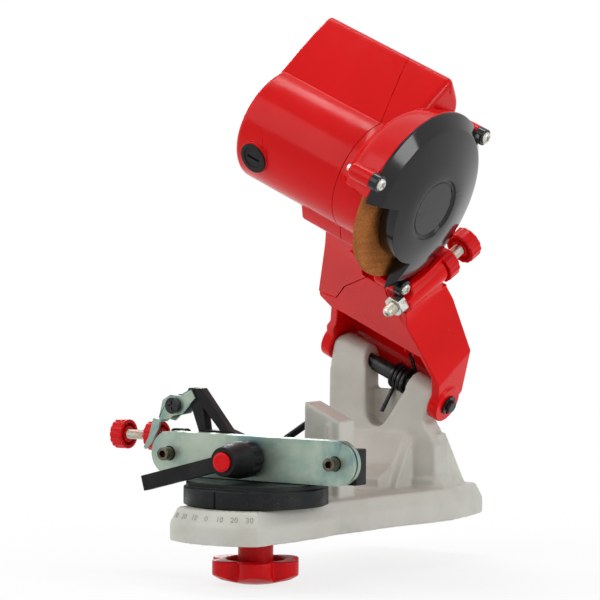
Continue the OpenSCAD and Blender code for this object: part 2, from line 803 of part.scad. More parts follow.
// Half section of the guard's dome, radius against distance from the guard's back
module dome_half(inset) {
  r = guard_r - inset;
  polygon([[0, 0], [r, 0], [r, rim_m - guard_back - inset*0.4], [50 - inset*0.7, 24.4 - guard_back - inset],
    [24, guard_front - guard_back - inset], [0, guard_front - guard_back - inset]]);
}

module guard_cover() {
  color("black") in_head() difference() {
    union() {
      difference() {
        on_motor(guard_back) rotate_extrude() dome_half(0);
        difference() {
          on_motor(guard_back - eps) rotate_extrude() dome_half(guard_wall);
          intersection() {
            on_motor(skirt_m) cylinder(r = guard_r, h = 40);
            difference() {
              on_motor(skirt_m) linear_extrude(40) wedge_2d(guard_gap + 3);
              on_motor(skirt_m - 1) cylinder(r = skirt_r - guard_wall, h = 60);
            }
          }
        }
      }
      for (a = ear_angles) motor_turn(a) along_m(ear_back + seat, -ear_ring, 0) cylinder(r = 5.2, h = ear_front - ear_back - seat);
    }
    wheel_gap(-5, 60, skirt_r, 0);
    on_motor(guard_front - 1.2) cylinder(r = 19.9, h = 5);
    for (a = ear_angles) motor_turn(a) along_m(0, -ear_ring, 0) cylinder(r = 2 + seat, h = 60);
    for (a = ear_angles) motor_turn(a) along_m(0, -ear_ring, 0) cylinder(r = 5.2 + seat, h = ear_back + seat);
    // The foot ear is relieved around the nut of the depth screw
    on_depth() translate([0, 0, -3]) cylinder(r = nut_r + pass, h = nut_h + 3 + pass);
  }
}

module guard_screws() {
  color("silver") in_head() for (a = ear_angles) motor_turn(a) along_m(ear_front, -ear_ring, 0) difference() {
    union() {
      cylinder(r1 = 3.8, r2 = 3.3, h = 2);
      translate([0, 0, -24]) cylinder(r = 2, h = 24 + eps);
    }
    translate([-2.2, -0.45, 0.8]) cube([4.4, 0.9, 3]);
    translate([-0.45, -2.2, 0.8]) cube([0.9, 4.4, 3]);
  }
}

// ---- spindle ----

module motor_shaft() {
  color("silver") in_head() on_motor(-motor_end + 3.5) cylinder(r = shaft_r, h = motor_end - 3.5 + 25);
}

module rotor_core() {
  color("gray") in_head() on_motor(-66) tube(rotor_r, shaft_r, 36);
}

module rotor_windings() {
  color("chocolate") in_head() {
    on_motor(-72) tube(rotor_r - 2, shaft_r, 6);
    on_motor(-30) tube(rotor_r - 2, shaft_r, 6);
  }
}

module commutator() {
  color("peru") in_head() on_motor(-86) tube(11, shaft_r, 13);
}

module cooling_fan() {
  color("black") in_head() {
    on_motor(-14) tube(fan_r, shaft_r, 1.6);
    on_motor(-20) tube(9, shaft_r, 6 + eps);
    for (i = [0:10]) on_motor(-20) rotate(i*360/11) translate([12, -0.6, 0]) cube([fan_r - 13, 1.2, 6 + eps]);
  }
}

module inner_flange() {
  color("silver") in_head() union() {
    on_motor(flange_m + 1) tube(18, shaft_r, wheel_m - wheel_t/2 - flange_m - 1);
    on_motor(wheel_m - wheel_t/2 - eps) tube(wheel_bore_r - run, shaft_r, wheel_t - 0.2);
  }
}

module grinding_wheel() {
  color("sienna") in_head() on_motor(wheel_m - wheel_t/2) tube(wheel_r, wheel_bore_r, wheel_t);
}

module outer_flange() {
  color("silver") in_head() on_motor(wheel_m + wheel_t/2) tube(18, shaft_r, 3);
}

module wheel_nut() {
  color("silver") in_head() on_motor(wheel_m + wheel_t/2 + 3) difference() {
    hex_prism(9.5, 6);
    translate([0, 0, -1]) cylinder(r = shaft_r, h = 9);
  }
}

// ---- depth screw ----

module depth_nut() {
  color("silver") in_head() on_depth() difference() {
    hex_prism(nut_r, nut_h);
    translate([0, 0, -1]) cylinder(r = depth_r + run, h = nut_h + 2);
  }
}

module depth_screw() {
  color("silver") in_head() on_depth() translate([0, 0, -depth_show]) rotate_extrude() union() {
    translate([0, depth_r]) square([depth_r, depth_len - depth_r]);
    intersection() {
      translate([0, depth_r]) circle(r = depth_r);
      square([depth_r, depth_r + 1]);
    }
  }
}

module depth_lock_wheel() {
  color("red") in_head() on_depth() translate([0, 0, 43 + 0.5]) thumbwheel(depth_r + run);
}

module depth_knob() {
  color("red") in_head() on_depth() translate([0, 0, 43 + 0.5 + thumb_h + depth_knob_gap]) thumbwheel(depth_r + run);
}

// ---- turntable and vise ----

module turntable() {
  color("black") difference() {
    union() {
      translate([0, 0, disc_z]) cylinder(r = disc_r, h = disc_h - 3);
      translate([0, 0, disc_z]) cylinder(r = disc_r - 1.5, h = disc_h);
    }
    // Step in the disc's front edge, and the index notch
    translate([-disc_r, -disc_r - 20, disc_z + disc_h - 3]) cube([2*disc_r, 20 + disc_r - 32, 10]);
    translate([-0.6, -disc_r - 1, disc_z - 1]) cube([1.2, 2.2, disc_h + 2]);
    translate([0, 0, disc_z - 1]) cylinder(r = stud_r, h = 40);
    translate([0, 0, disc_z - 1]) tube(33, 20, 6);
  }
}

body_from = rail_t - gap_y;
body_to = body_from + 17;
body_z = disc_z + disc_h;

// Black body behind the rails, with a foot that reaches under the front rail
module vise_body() {
  color("black") difference() {
    union() {
      translate([-rail_half - 10, body_from, rail_low + 0.3]) cube([2*rail_half + 20, body_to - body_from - 6, 21]);
      translate([-36, body_from, body_z]) cube([72, body_to - body_from, rail_low + 21.3 - body_z]);
      // Boss in which the chain stop's screw is threaded
      translate([screw_x - 4, stop_y, stop_z]) rotate([0, 90, 0]) cylinder(r = 5.6, h = 10);
      translate([screw_x - 4, body_from, rail_low + 10]) cube([10, body_to - body_from - 6, stop_z - rail_low - 10]);
    }
    translate([screw_x - 30, stop_y, stop_z]) rotate([0, 90, 0]) cylinder(r = 3 + run, h = 60);
    // Slot in which the stop arm's foot slides
    translate([-51, stop_y - 3.5 - pass, rail_low + 12]) cube([44, 7 + 2*pass, 30]);
    for (x = [-rail_half, 0, rail_half]) translate([x, -30, rail_z]) rotate([-90, 0, 0]) cylinder(r = 4 + seat, h = 60);
  }
}

module rail_plate(y_back, hole_r, hub_hole_r) {
  translate([0, y_back, 0]) rotate([90, 0, 0]) linear_extrude(rail_t) difference() {
    union() {
      translate([-rail_half, rail_low]) square([2*rail_half, 2*rail_r]);
      for (x = [-rail_half, rail_half]) translate([x, rail_z]) circle(r = rail_r);
    }
    for (x = [-rail_half, rail_half]) translate([x, rail_z]) circle(r = hole_r);
    translate([0, rail_z]) circle(r = hub_hole_r);
  }
}

module rear_rail() {
  color("lightslategray") rail_plate(rail_t - gap_y - seat, 4 + seat, 4 + seat);
}

module front_rail() {
  color("lightslategray") rail_plate(front_back_y, 4 + pass, 4 + pass);
}

// Hollow hexagon-socket screws on which the front rail slides
module rail_screws() {
  color("dimgray") for (x = [-rail_half, rail_half])
    translate([x, front_front_y - 7, rail_z]) rotate([-90, 0, 0]) difference() {
      cylinder(r = 4, h = 7 + 2*rail_t + chain_gap + 10);
      translate([0, 0, -1]) cylinder(r = 2.3, h = 6, $fn = 6);
    }
}

module clamp_stud() {
  color("silver") translate([0, front_front_y - 19.5, rail_z]) rotate([-90, 0, 0])
    cylinder(r = 4, h = 19.5 + 2*rail_t + chain_gap + 14);
}

module turntable_stud() {
  color("silver") translate([0, 0, -16]) cylinder(r = stud_r, h = 16 + body_z);
}

// ---- clamp lever ----

hub_back = front_front_y - 1.7;
hub_len = 27;

// Frame at the hub's back end: z runs forward to the operator
module on_lever() {
  translate([0, hub_back, rail_z]) rotate([90, 0, 0]) children();
}

module clamp_lever() {
  color("black") on_lever() difference() {
    union() {
      cylinder(r1 = hub_r, r2 = hub_r + 0.3, h = 12);
      translate([0, 0, 12 - eps]) cylinder(r1 = hub_r + 0.3, r2 = 8.6, h = hub_len - 12);
      rotate(180 + lever_angle) translate([0, -4.6, hub_len - 10]) cube([lever_len, 9.2, 6]);
    }
    for (i = [0:9]) rotate(i*36 + 18) translate([hub_r + 1.6, 0, -1]) cylinder(r = 2.6, h = 10, $fn = 24);
    translate([0, 0, -1]) cylinder(r = 4 + run, h = 20.5);
    translate([0, 0, 19]) cylinder(r = 5.5 + run, h = 20);
  }
}

module lever_button() {
  color("red") on_lever() translate([0, 0, hub_len - 4.5]) union() {
    cylinder(r = 5.5, h = 6);
    translate([0, 0, 6 - eps]) cylinder(r1 = 5.5, r2 = 4.6, h = 0.8);
  }
}

// ---- lock knob under the base ----

module lock_washer() {
  color("silver") translate([0, 0, -2 - pass]) tube(13, stud_r + run, 2);
}

// Lobed knob with a hub, dished on top and domed below
module lock_knob() {
  color("red") difference() {
    union() {
      difference() {
        intersection() {
          translate([0, 0, -28]) linear_extrude(15.2) {
            circle(r = 16);
            for (i = [0:knob_wings - 1]) rotate(3 + i*360/knob_wings)
              translate([knob_r - 10, 0]) circle(r = 10.6);
          }
          rotate_extrude() polygon([[0, -27.6], [12, -27], [22, -24.6], [knob_r + 1, -21], [knob_r + 1, -12], [0, -12]]);
        }
        translate([0, 0, -18.5]) cylinder(r = 17.5, h = 10);
      }
      translate([0, 0, -20]) cylinder(r = 10.5, h = 18 - 2*pass);
    }
    translate([0, 0, -18]) cylinder(r = stud_r + run, h = 30);
  }
}

// ---- chain stop ----

arm_top_x = -50;
arm_top_z = 82;

// Black arm that rises behind the rails and carries the pawl
module stop_arm() {
  color("black") difference() {
    union() {
      translate([0, stop_y + 3.5, 0]) rotate([90, 0, 0]) linear_extrude(7) difference() {
        polygon([[-44, rail_low + 13], [-12, rail_low + 13], [-12, rail_top - 2], [-24, rail_top + 2], [arm_top_x + 6, arm_top_z + 4],
          [arm_top_x - 3, arm_top_z + 4], [arm_top_x - 6, arm_top_z - 2], [arm_top_x - 2, arm_top_z - 5], [-44, rail_top - 4]]);
        polygon([[-40, rail_top + 1], [-30, rail_top + 1], [-42, arm_top_z - 8]]);
      }
      translate([pawl_x, stop_y + 3.5, pawl_z]) rotate([90, 0, 0]) cylinder(r = 4.6, h = 7);
      translate([0, stop_y + 3.5, 0]) rotate([90, 0, 0]) linear_extrude(7)
        polygon([[pawl_x - 2, pawl_z + 4.2], [arm_top_x, arm_top_z + 4], [arm_top_x - 4, arm_top_z - 6], [pawl_x + 2, pawl_z - 4.2]]);
    }
    translate([-100, stop_y, stop_z]) rotate([0, 90, 0]) cylinder(r = 3 + seat, h = 62);
    translate([pawl_x, -20, pawl_z]) rotate([-90, 0, 0]) cylinder(r = 2.5 + seat, h = 60);
  }
}

pawl_x = -62;
pawl_z = 75;
pawl_t = 1.5;

module stop_screw() {
  color("silver") translate([stop_screw_from, stop_y, stop_z]) rotate([0, 90, 0])
    cylinder(r = 3, h = stop_screw_to - stop_screw_from);
}

module stop_lock_wheel() {
  color("red") translate([lock_x, stop_y, stop_z]) rotate([0, -90, 0]) thumbwheel(3 + run);
}

module stop_knob() {
  color("red") translate([lock_x - thumb_h - stop_knob_gap, stop_y, stop_z]) rotate([0, -90, 0]) thumbwheel(3 + run);
}

// Folded sheet metal: two flanges on the pivot screw, a web, and a finger set forward
module stop_pawl() {
  color("lightslategray") translate([pawl_x, stop_y, pawl_z]) difference() {
    union() {
      for (y = [-3.5 - pass, 3.5 + pass + pawl_t]) translate([0, y, 0]) rotate([90, 0, 0]) linear_extrude(pawl_t)
        polygon([[-9, 3], [-3, 6.5], [4, 6], [12, 10], [15, 5], [5, -5], [-2, -6.5], [-6, -10], [-12, -9]]);
      translate([0, 3.5 + pass + pawl_t, 0]) rotate([90, 0, 0]) linear_extrude(7 + 2*(pass + pawl_t))
        polygon([[-9, 3], [-7.6, 3], [-10.6, -9], [-12, -9]]);
      translate([0, -3.5 - pass, 0]) rotate([90, 0, 0]) linear_extrude(6 + pawl_t)
        polygon([[-12, -9], [-6, -10], [-6.4, -8.4], [-11.6, -7.6]]);
      translate([0, -9.5 - pass, 0]) rotate([90, 0, 0]) linear_extrude(pawl_t)
        polygon([[-11.6, -7.6], [-6.4, -8.4], [-7.4, -14], [-13, -23], [-17.5, -27], [-18.8, -25.6], [-15, -19]]);
    }
    translate([0, -20, 0]) rotate([-90, 0, 0]) cylinder(r = 2.5 + run, h = 60);
  }
}

module pawl_screw() {
  color("black") translate([pawl_x, stop_y - 3.5 - 2*pass - pawl_t - 2.8, pawl_z]) rotate([-90, 0, 0]) difference() {
    union() {
      cylinder(r = 5, h = 2.8);
      cylinder(r = 2.5, h = 16);
    }
    translate([-2.6, -0.5, -1]) cube([5.2, 1, 2.2]);
    translate([-0.5, -2.6, -1]) cube([1, 5.2, 2.2]);
  }
}

base_casting();
pivot_shaft();
pivot_sleeve();
retaining_rings();
return_spring();
chain_guide();
swing_arm();
arm_cover();
motor_housing();
front_housing();
brush_caps();
brush_holders();
carbon_brushes();
stator_core();
field_coils();
rear_bearing();
front_bearing();
switch_body();
switch_rocker();
cord_inlet();
guard_cover();
guard_screws();
motor_shaft();
rotor_core();
rotor_windings();
commutator();
cooling_fan();
inner_flange();
grinding_wheel();
outer_flange();
wheel_nut();
depth_nut();
depth_screw();
depth_knob();
depth_lock_wheel();
turntable();
vise_body();
rear_rail();
rail_screws();
turntable_stud();
front_rail();
clamp_stud();
clamp_lever();
lever_button();
lock_washer();
lock_knob();
stop_arm();
stop_screw();
stop_knob();
stop_lock_wheel();
stop_pawl();
pawl_screw();
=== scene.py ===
import json
from math import cos, hypot, pi, radians, sin, sqrt

import bmesh
import bpy
from mathutils import Matrix, Vector


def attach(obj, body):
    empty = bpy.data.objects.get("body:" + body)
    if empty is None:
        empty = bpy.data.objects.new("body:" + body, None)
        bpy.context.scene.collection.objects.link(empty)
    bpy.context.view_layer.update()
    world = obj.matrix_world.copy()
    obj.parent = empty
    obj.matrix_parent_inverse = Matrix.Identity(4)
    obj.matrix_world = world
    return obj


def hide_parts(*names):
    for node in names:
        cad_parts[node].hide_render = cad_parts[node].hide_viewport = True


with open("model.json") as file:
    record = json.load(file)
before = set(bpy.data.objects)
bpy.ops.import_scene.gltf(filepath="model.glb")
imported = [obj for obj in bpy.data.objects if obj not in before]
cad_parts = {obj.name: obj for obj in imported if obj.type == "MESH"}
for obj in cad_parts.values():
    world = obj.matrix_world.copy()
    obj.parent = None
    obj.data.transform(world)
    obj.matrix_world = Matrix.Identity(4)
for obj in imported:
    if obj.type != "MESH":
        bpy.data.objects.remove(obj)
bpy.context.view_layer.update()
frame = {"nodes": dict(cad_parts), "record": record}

scene = bpy.context.scene
scene.view_settings.view_transform = "Standard"
mm = 0.001

# ---- camera ----
# Stands where the photograph was taken: to the right of the operator, a long
# lens 1.7 m away and two degrees above the machine's middle.


def stand(name, data):
    """A new object in the scene."""
    made = bpy.data.objects.new(name, data)
    scene.collection.objects.link(made)
    return made


turn, rise, roll = radians(33.13), radians(1.98), radians(0.32)
aim, distance = Vector((-0.00065, 0.04753, 0.13912)), 1.7154
back = Vector((sin(turn)*cos(rise), -cos(turn)*cos(rise), sin(rise)))
right = Vector((cos(turn), sin(turn), 0))
up = back.cross(right)
right, up = right*cos(roll) + up*sin(roll), up*cos(roll) - right*sin(roll)
camera = stand("photo_camera", bpy.data.cameras.new("photo_camera"))
camera.matrix_world = Matrix.Translation(aim + back*distance) @ Matrix((right, up, back)).transposed().to_4x4()
camera.data.lens = 170.01
camera.data.sensor_width = 36
camera.data.clip_start = 0.05
camera.data.clip_end = 30
scene.camera = camera

# ---- studio ----
# A white room: one large soft lamp high on the left, smaller ones on the right,
# above and behind, and a pale floor under the knob that fades to white.
lamps_aim = Vector((0, 0.06, 0.16))
floor_height, floor_half = -0.0279, 4


def softbox(name, place, size, watts):
    lamp = bpy.data.lights.new(name, "AREA")
    lamp.shape = "RECTANGLE"
    lamp.size, lamp.size_y = size
    lamp.energy = watts
    box = stand(name, lamp)
    box.location = place
    box.rotation_mode = "QUATERNION"
    box.rotation_quaternion = (Vector(place) - lamps_aim).to_track_quat("Z", "Y")
    box.visible_camera = False


softbox("softbox_left", (-0.75, -1.0, 0.95), (1.5, 1.1), 9.5)
softbox("softbox_right", (1.35, 0.05, 0.42), (0.4, 0.7), 6.0)
softbox("softbox_above", (-0.08, 0.17, 1.35), (1.0, 0.24), 6.0)
softbox("softbox_behind", (-0.9, 1.1, 0.6), (0.45, 0.45), 6.0)


def new_node(tree, kind, sockets=None, **settings):
    """A node with its settings; each named input is linked or given its value."""
    made = tree.nodes.new(kind)
    for name, value in settings.items():
        setattr(made, name, value)
    for name, value in (sockets or {}).items():
        if isinstance(value, bpy.types.NodeSocket):
            tree.links.new(value, made.inputs[name])
        else:
            made.inputs[name].default_value = value
    return made


def put(tree, kind, sockets=None, **settings):
    """A shader node, of which the first output is handed on."""
    return new_node(tree, "ShaderNode" + kind, sockets, **settings).outputs[0]


def seen_directly(tree):
    path = tree.nodes.new("ShaderNodeLightPath")
    some = put(tree, "Math", {0: path.outputs["Is Camera Ray"], 1: path.outputs["Is Glossy Ray"]},
               operation="MAXIMUM")
    return put(tree, "Math", {0: some, 1: path.outputs["Is Transmission Ray"]}, operation="MAXIMUM")


world = bpy.data.worlds.new("white_room")
scene.world = world
world.use_nodes = True
room = world.node_tree
room.nodes.clear()
lit = put(room, "Background", {"Color": (1, 1, 1, 1), "Strength": 0.36})
white = put(room, "Background", {"Color": (1, 1, 1, 1), "Strength": 1.0})
room.links.new(put(room, "MixShader", {0: seen_directly(room), 1: lit, 2: white}),
               room.nodes.new("ShaderNodeOutputWorld").inputs["Surface"])

floor_mesh = bpy.data.meshes.new("studio_floor")
floor_mesh.from_pydata([(x*floor_half, y*floor_half, floor_height) for x, y in ((-1, -1), (1, -1), (1, 1), (-1, 1))],
                       [], [(0, 1, 2, 3)])
floor = stand("studio_floor", floor_mesh)
paper = bpy.data.materials.new("white_paper")
paper.use_nodes = True
sheet = paper.node_tree
sheet.nodes.clear()
spot = put(sheet, "VectorMath", {0: sheet.nodes.new("ShaderNodeTexCoord").outputs["Object"], 1: (1, 1, 0)},
           operation="MULTIPLY")
away = new_node(sheet, "ShaderNodeVectorMath", {0: spot}, operation="LENGTH").outputs["Value"]
fade = put(sheet, "MapRange", {"Value": away, "From Min": 0.12, "From Max": 0.5, "To Min": 0.8, "To Max": 1.0})
amount = put(sheet, "Math", {0: fade, 1: seen_directly(sheet)}, operation="MULTIPLY")
matt = put(sheet, "BsdfDiffuse", {"Color": (0.93, 0.93, 0.93, 1)})
glow = put(sheet, "Emission", {"Color": (1, 1, 1, 1), "Strength": 1.0})
sheet.links.new(put(sheet, "MixShader", {0: amount, 1: matt, 2: glow}),
                sheet.nodes.new("ShaderNodeOutputMaterial").inputs["Surface"])
floor_mesh.materials.append(paper)

# ---- base casting ----
# One sand casting in aluminium, sprayed pale grey and tumbled so that no edge is
# sharp: flange, pillar, and two posts with a web between. Only bores are machined.
web_middle, web_size = (0.0035, 0.1571, 0.065), (0.039, 0.0048, 0.030)
nodes = frame["nodes"]
body_of = {name: body for body, names in frame["record"]["behaviour"]["bodies"].items() for name in names}


def merged_copy(node, name):
    """A copy of a node's mesh with its triangles joined at their corners and flat faces made whole."""
    work = bmesh.new()
    work.from_mesh(nodes[node].data)
    bmesh.ops.remove_doubles(work, verts=work.verts, dist=3e-6)
    bmesh.ops.dissolve_limit(work, angle_limit=radians(0.4), verts=work.verts, edges=work.edges)
    mesh = bpy.data.meshes.new(name)
    work.to_mesh(mesh)
    work.free()
    for extra in [a.name for a in mesh.attributes if a.name in ("custom_normal", "UVMap")]:
        mesh.attributes.remove(mesh.attributes[extra])
    mesh.materials.clear()
    return stand(name, mesh)


def settle(piece):
    """Turns a piece and its modifiers into one plain mesh."""
    mesh = bpy.data.meshes.new_from_object(piece.evaluated_get(bpy.context.evaluated_depsgraph_get()))
    piece.modifiers.clear()
    piece.data = mesh
    return piece


def smooth(piece, crease=48):
    """Smooth faces, with creases only where two faces meet at a steep angle, and flat faces kept flat."""
    work = bmesh.new()
    work.from_mesh(piece.data)
    for face in work.faces:
        face.smooth = True
    for edge in work.edges:
        edge.smooth = not (len(edge.link_faces) == 2 and edge.calc_face_angle(0) > radians(crease))
    work.to_mesh(piece.data)
    work.free()
    normals = piece.modifiers.new("flat_faces", "WEIGHTED_NORMAL")
    normals.keep_sharp = True
    normals.weight = 70
    return settle(piece)


def eased(piece, width, angle=32):
    """Rounds the edges of a piece by a width in millimetres."""
    edge = piece.modifiers.new("round_edges", "BEVEL")
    edge.width = width*mm
    edge.segments = 2
    edge.limit_method = "ANGLE"
    edge.angle_limit = radians(angle)
    edge.use_clamp_overlap = False
    return smooth(settle(piece))


def tumbled(piece, grain, passes):
    """Rounds a piece all over: a fine even mesh, smoothed a few times."""
    even = piece.modifiers.new("even_mesh", "REMESH")
    even.mode = "VOXEL"
    even.voxel_size = grain
    even.use_smooth_shade = True
    wear = piece.modifiers.new("wear", "SMOOTH")
    wear.factor = 0.5
    wear.iterations = passes
    return settle(piece)


def finished(piece, stuff, *stands_for, body=None):
    """Gives a piece its material and puts it on the body of the node that it stands for."""
    piece.data.materials.clear()
    piece.data.materials.append(stuff)
    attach(piece, body or body_of[stands_for[0]])
    if stands_for:
        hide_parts(*stands_for)
    return piece


def rounded_copy(node, name, width, stuff):
    """The finished piece for a node that needs no more than softer edges."""
    return finished(eased(merged_copy(node, name), width), stuff, node)


def material(name, colour, rough, metal=0.0, specular=0.5):
    made = bpy.data.materials.new(name)
    made.use_nodes = True
    shader = made.node_tree.nodes["Principled BSDF"]
    shader.inputs["Base Color"].default_value = (*colour, 1)
    shader.inputs["Roughness"].default_value = rough
    shader.inputs["Metallic"].default_value = metal
    shader.inputs["Specular IOR Level"].default_value = specular
    return made


def noise(tree, scale, detail=4.0, rough=0.55, stretch=None, warp=0.0):
    place = tree.nodes.new("ShaderNodeTexCoord").outputs["Object"]
    if stretch:
        place = put(tree, "Mapping", {"Vector": place, "Scale": stretch[0], "Rotation": stretch[1]})
    return put(tree, "TexNoise", {"Vector": place, "Scale": scale, "Detail": detail, "Roughness": rough,
                                  "Distortion": warp})


def ramp(tree, value, *stops):
    made = new_node(tree, "ShaderNodeValToRGB", {0: value})
    line = made.color_ramp
    while len(line.elements) < len(stops):
        line.elements.new(0.5)
    for element, (place, colour) in zip(line.elements, stops):
        element.position = place
        element.color = (*colour, 1)
    return made.outputs[0]


def vary(tree, value, low, high):
    return put(tree, "MapRange", {"Value": value, "From Min": 0.35, "From Max": 0.65, "To Min": low, "To Max": high})


def dress(made, colour=None, rough=None, heights=()):
    """Links a colour, a roughness and bump heights (value, depth in metres) to a material's shader."""
    tree = made.node_tree
    shader = tree.nodes["Principled BSDF"]
    if colour:
        tree.links.new(colour, shader.inputs["Base Color"])
    if rough:
        tree.links.new(rough, shader.inputs["Roughness"])
    normal = None
    for value, depth in heights:
        sockets = {"Height": value, "Distance": depth, "Strength": 1.0}
        if normal:
            sockets["Normal"] = normal
        normal = put(tree, "Bump", sockets)
    if normal:
        tree.links.new(normal, shader.inputs["Normal"])
    return made


def cloudy(made, patches, stops, sheen=None, bumps=()):
    """Dresses a material with noise: patches (scale, detail, ...) of the colour stops, sheen (scale,
    detail, lowest and highest roughness) and bumps (scale, detail, depth)."""
    tree = made.node_tree
    rough = vary(tree, noise(tree, *sheen[:2]), *sheen[2:]) if sheen else None
    return dress(made, ramp(tree, noise(tree, *patches), *stops), rough,
                 [(noise(tree, scale, detail), depth) for scale, detail, depth in bumps])


cast_paint = cloudy(material("cast_paint", (0.56, 0.555, 0.50), 0.42, specular=0.4), (34, 6),
                    [(0.3, (0.50, 0.495, 0.44)), (0.5, (0.575, 0.57, 0.51)), (0.72, (0.62, 0.615, 0.56))],
                    (120, 4, 0.34, 0.52), [(1500, 3, 0.00012), (260, 3, 0.00018)])
casting = merged_copy("base_casting", "base_casting_tumbled")
work = bmesh.new()
work.from_mesh(casting.data)
bmesh.ops.create_cube(work, size=1, matrix=Matrix.Translation(web_middle) @ Matrix.Diagonal((*web_size, 1)))
work.to_mesh(casting.data)
work.free()
finished(tumbled(casting, 0.0011, 5), cast_paint, "base_casting")

# ---- angle scale ----
# Fifteen marks, five degrees apart, engraved in the apron beside the turntable,
# with a number at each ten degrees on the sloping edge. Their darker grey is painted shade.
shaded_scale_paint = cloudy(material("engraved_marks", (0.34, 0.33, 0.30), 0.6), (700,),
                  [(0.35, (0.26, 0.255, 0.225)), (0.65, (0.42, 0.41, 0.37))], bumps=[(1500, 4, 0.0001)])
deck, mark_from, mark_to = 19.6, 43.6, 47.4
edge_drop, edge_run = 9.1, 5
figures_r, figures_height, figure_size = 51.45*mm, 0.0151, 0.0046


def node_group(name, **inputs):
    """A geometry tree with named inputs: Geometry and the given sizes."""
    group = bpy.data.node_groups.new(name, "GeometryNodeTree")
    group.interface.new_socket("Geometry", in_out="INPUT", socket_type="NodeSocketGeometry")
    for label, kind in inputs.items():
        group.interface.new_socket(label.replace("_", " "), in_out="INPUT", socket_type="NodeSocket" + kind)
    group.interface.new_socket("Geometry", in_out="OUTPUT", socket_type="NodeSocketGeometry")
    return group, group.nodes.new("NodeGroupInput").outputs


def step(group, kind, sockets=None, **settings):
    return new_node(group, "GeometryNode" + kind, sockets, **settings)


def end_tree(group, geometry, finish):
    """Makes the instances real, gives them their material and hands them on."""
    real = step(group, "RealizeInstances", {"Geometry": geometry})
    paint = step(group, "SetMaterial", {"Geometry": real.outputs[0], "Material": finish})
    group.links.new(paint.outputs[0], group.nodes.new("NodeGroupOutput").inputs[0])


def grow(name, group, mesh, **values):
    """Runs a geometry tree on a mesh and returns its result as a plain piece."""
    piece = stand(name, mesh)
    tool = piece.modifiers.new("grow", "NODES")
    tool.node_group = group
    for item in group.interface.items_tree:
        label = item.name.replace(" ", "_")
        if item.item_type == "SOCKET" and item.in_out == "INPUT" and label in values:
            tool[item.identifier] = values[label]
    return settle(piece)


def turned_points(name, places, turns):
    """A mesh of points, each with the turn that its instance gets."""
    points = bpy.data.meshes.new(name)
    points.from_pydata(places, [], [])
    stored = points.attributes.new("turn", "FLOAT_VECTOR", "POINT")
    for place, turn in zip(stored.data, turns):
        place.vector = turn
    return points


def on_points(group, points, instance):
    angle = step(group, "InputNamedAttribute", {"Name": "turn"}, data_type="FLOAT_VECTOR")
    return step(group, "InstanceOnPoints", {"Points": points, "Instance": instance,
                                            "Rotation": angle.outputs[0]}).outputs[0]


marks_tree, give = node_group("scale_marks_tree", Bar_length="Float", Bar_width="Float", Bar_height="Float",
                              Finish="Material")
bar_size = marks_tree.nodes.new("ShaderNodeCombineXYZ")
for axis, label in enumerate(("Bar width", "Bar length", "Bar height")):
    marks_tree.links.new(give[label], bar_size.inputs[axis])
bar = step(marks_tree, "MeshCube", {"Size": bar_size.outputs[0]})
end_tree(marks_tree, on_points(marks_tree, give["Geometry"], bar.outputs["Mesh"]), give["Finish"])

middle, sunk = (mark_from + mark_to)/2, 0.05
angles = [radians(a) for a in range(-35, 36, 5)]
points = turned_points("scale_marks", [(middle*sin(a)*mm, -middle*cos(a)*mm, (deck - sunk)*mm) for a in angles],
                       [(0, 0, a) for a in angles])
marks = grow("scale_marks", marks_tree, points, Bar_length=(mark_to - mark_from)*mm, Bar_width=0.0007,
             Bar_height=0.0003, Finish=shaded_scale_paint)
finished(marks, shaded_scale_paint, body="base")

work = bmesh.new()
slope = hypot(edge_run, edge_drop)
for degrees in range(-30, 31, 10):
    a = radians(degrees)
    letter = bpy.data.curves.new("figure", "FONT")
    letter.body = str(abs(degrees))
    letter.size = figure_size
    letter.extrude = 0.00008
    letter.align_x = letter.align_y = "CENTER"
    letter.resolution_u = 3
    text = stand("figure", letter)
    mesh = bpy.data.meshes.new_from_object(text.evaluated_get(bpy.context.evaluated_depsgraph_get()))
    outward = Vector((sin(a), -cos(a), 0))
    along = Vector((cos(a), sin(a), 0))
    face = outward*(edge_drop/slope) + Vector((0, 0, edge_run/slope))
    spot = outward*figures_r + Vector((0, 0, figures_height)) + face*0.00005
    mesh.transform(Matrix.Translation(spot) @ Matrix((along, face.cross(along), face)).transposed().to_4x4())
    work.from_mesh(mesh)
    bpy.data.objects.remove(text)
numbers_mesh = bpy.data.meshes.new("scale_numbers")
work.to_mesh(numbers_mesh)
work.free()
numbers = stand("scale_numbers", numbers_mesh)
finished(numbers, shaded_scale_paint, body="base")

# ---- pivot ----
# A blued steel shaft pressed through both posts, held by clips outside the arm,
# with a black sleeve in the slot and a torsion spring wound round it.
blued = cloudy(material("blued_steel", (0.03, 0.03, 0.033), 0.3, metal=0.7), (300, 5),
               [(0.35, (0.012, 0.012, 0.013)), (0.6, (0.04, 0.04, 0.042)), (0.75, (0.14, 0.14, 0.15))],
               (500, 4, 0.22, 0.42), [(900, 4, 0.00004)])
black_tube = cloudy(material("black_tube", (0.014, 0.014, 0.014), 0.34, specular=0.4), (400, 5),
                    [(0.4, (0.010, 0.010, 0.010)), (0.7, (0.028, 0.027, 0.026))],
                    (200, 4, 0.3, 0.5), [(1200, 4, 0.00005)])
rounded_copy("pivot_shaft", "pivot_shaft_blued", 0.5, blued)
rounded_copy("retaining_rings", "retaining_clips", 0.15, blued)
rounded_copy("pivot_sleeve", "pivot_sleeve_black", 0.3, black_tube)

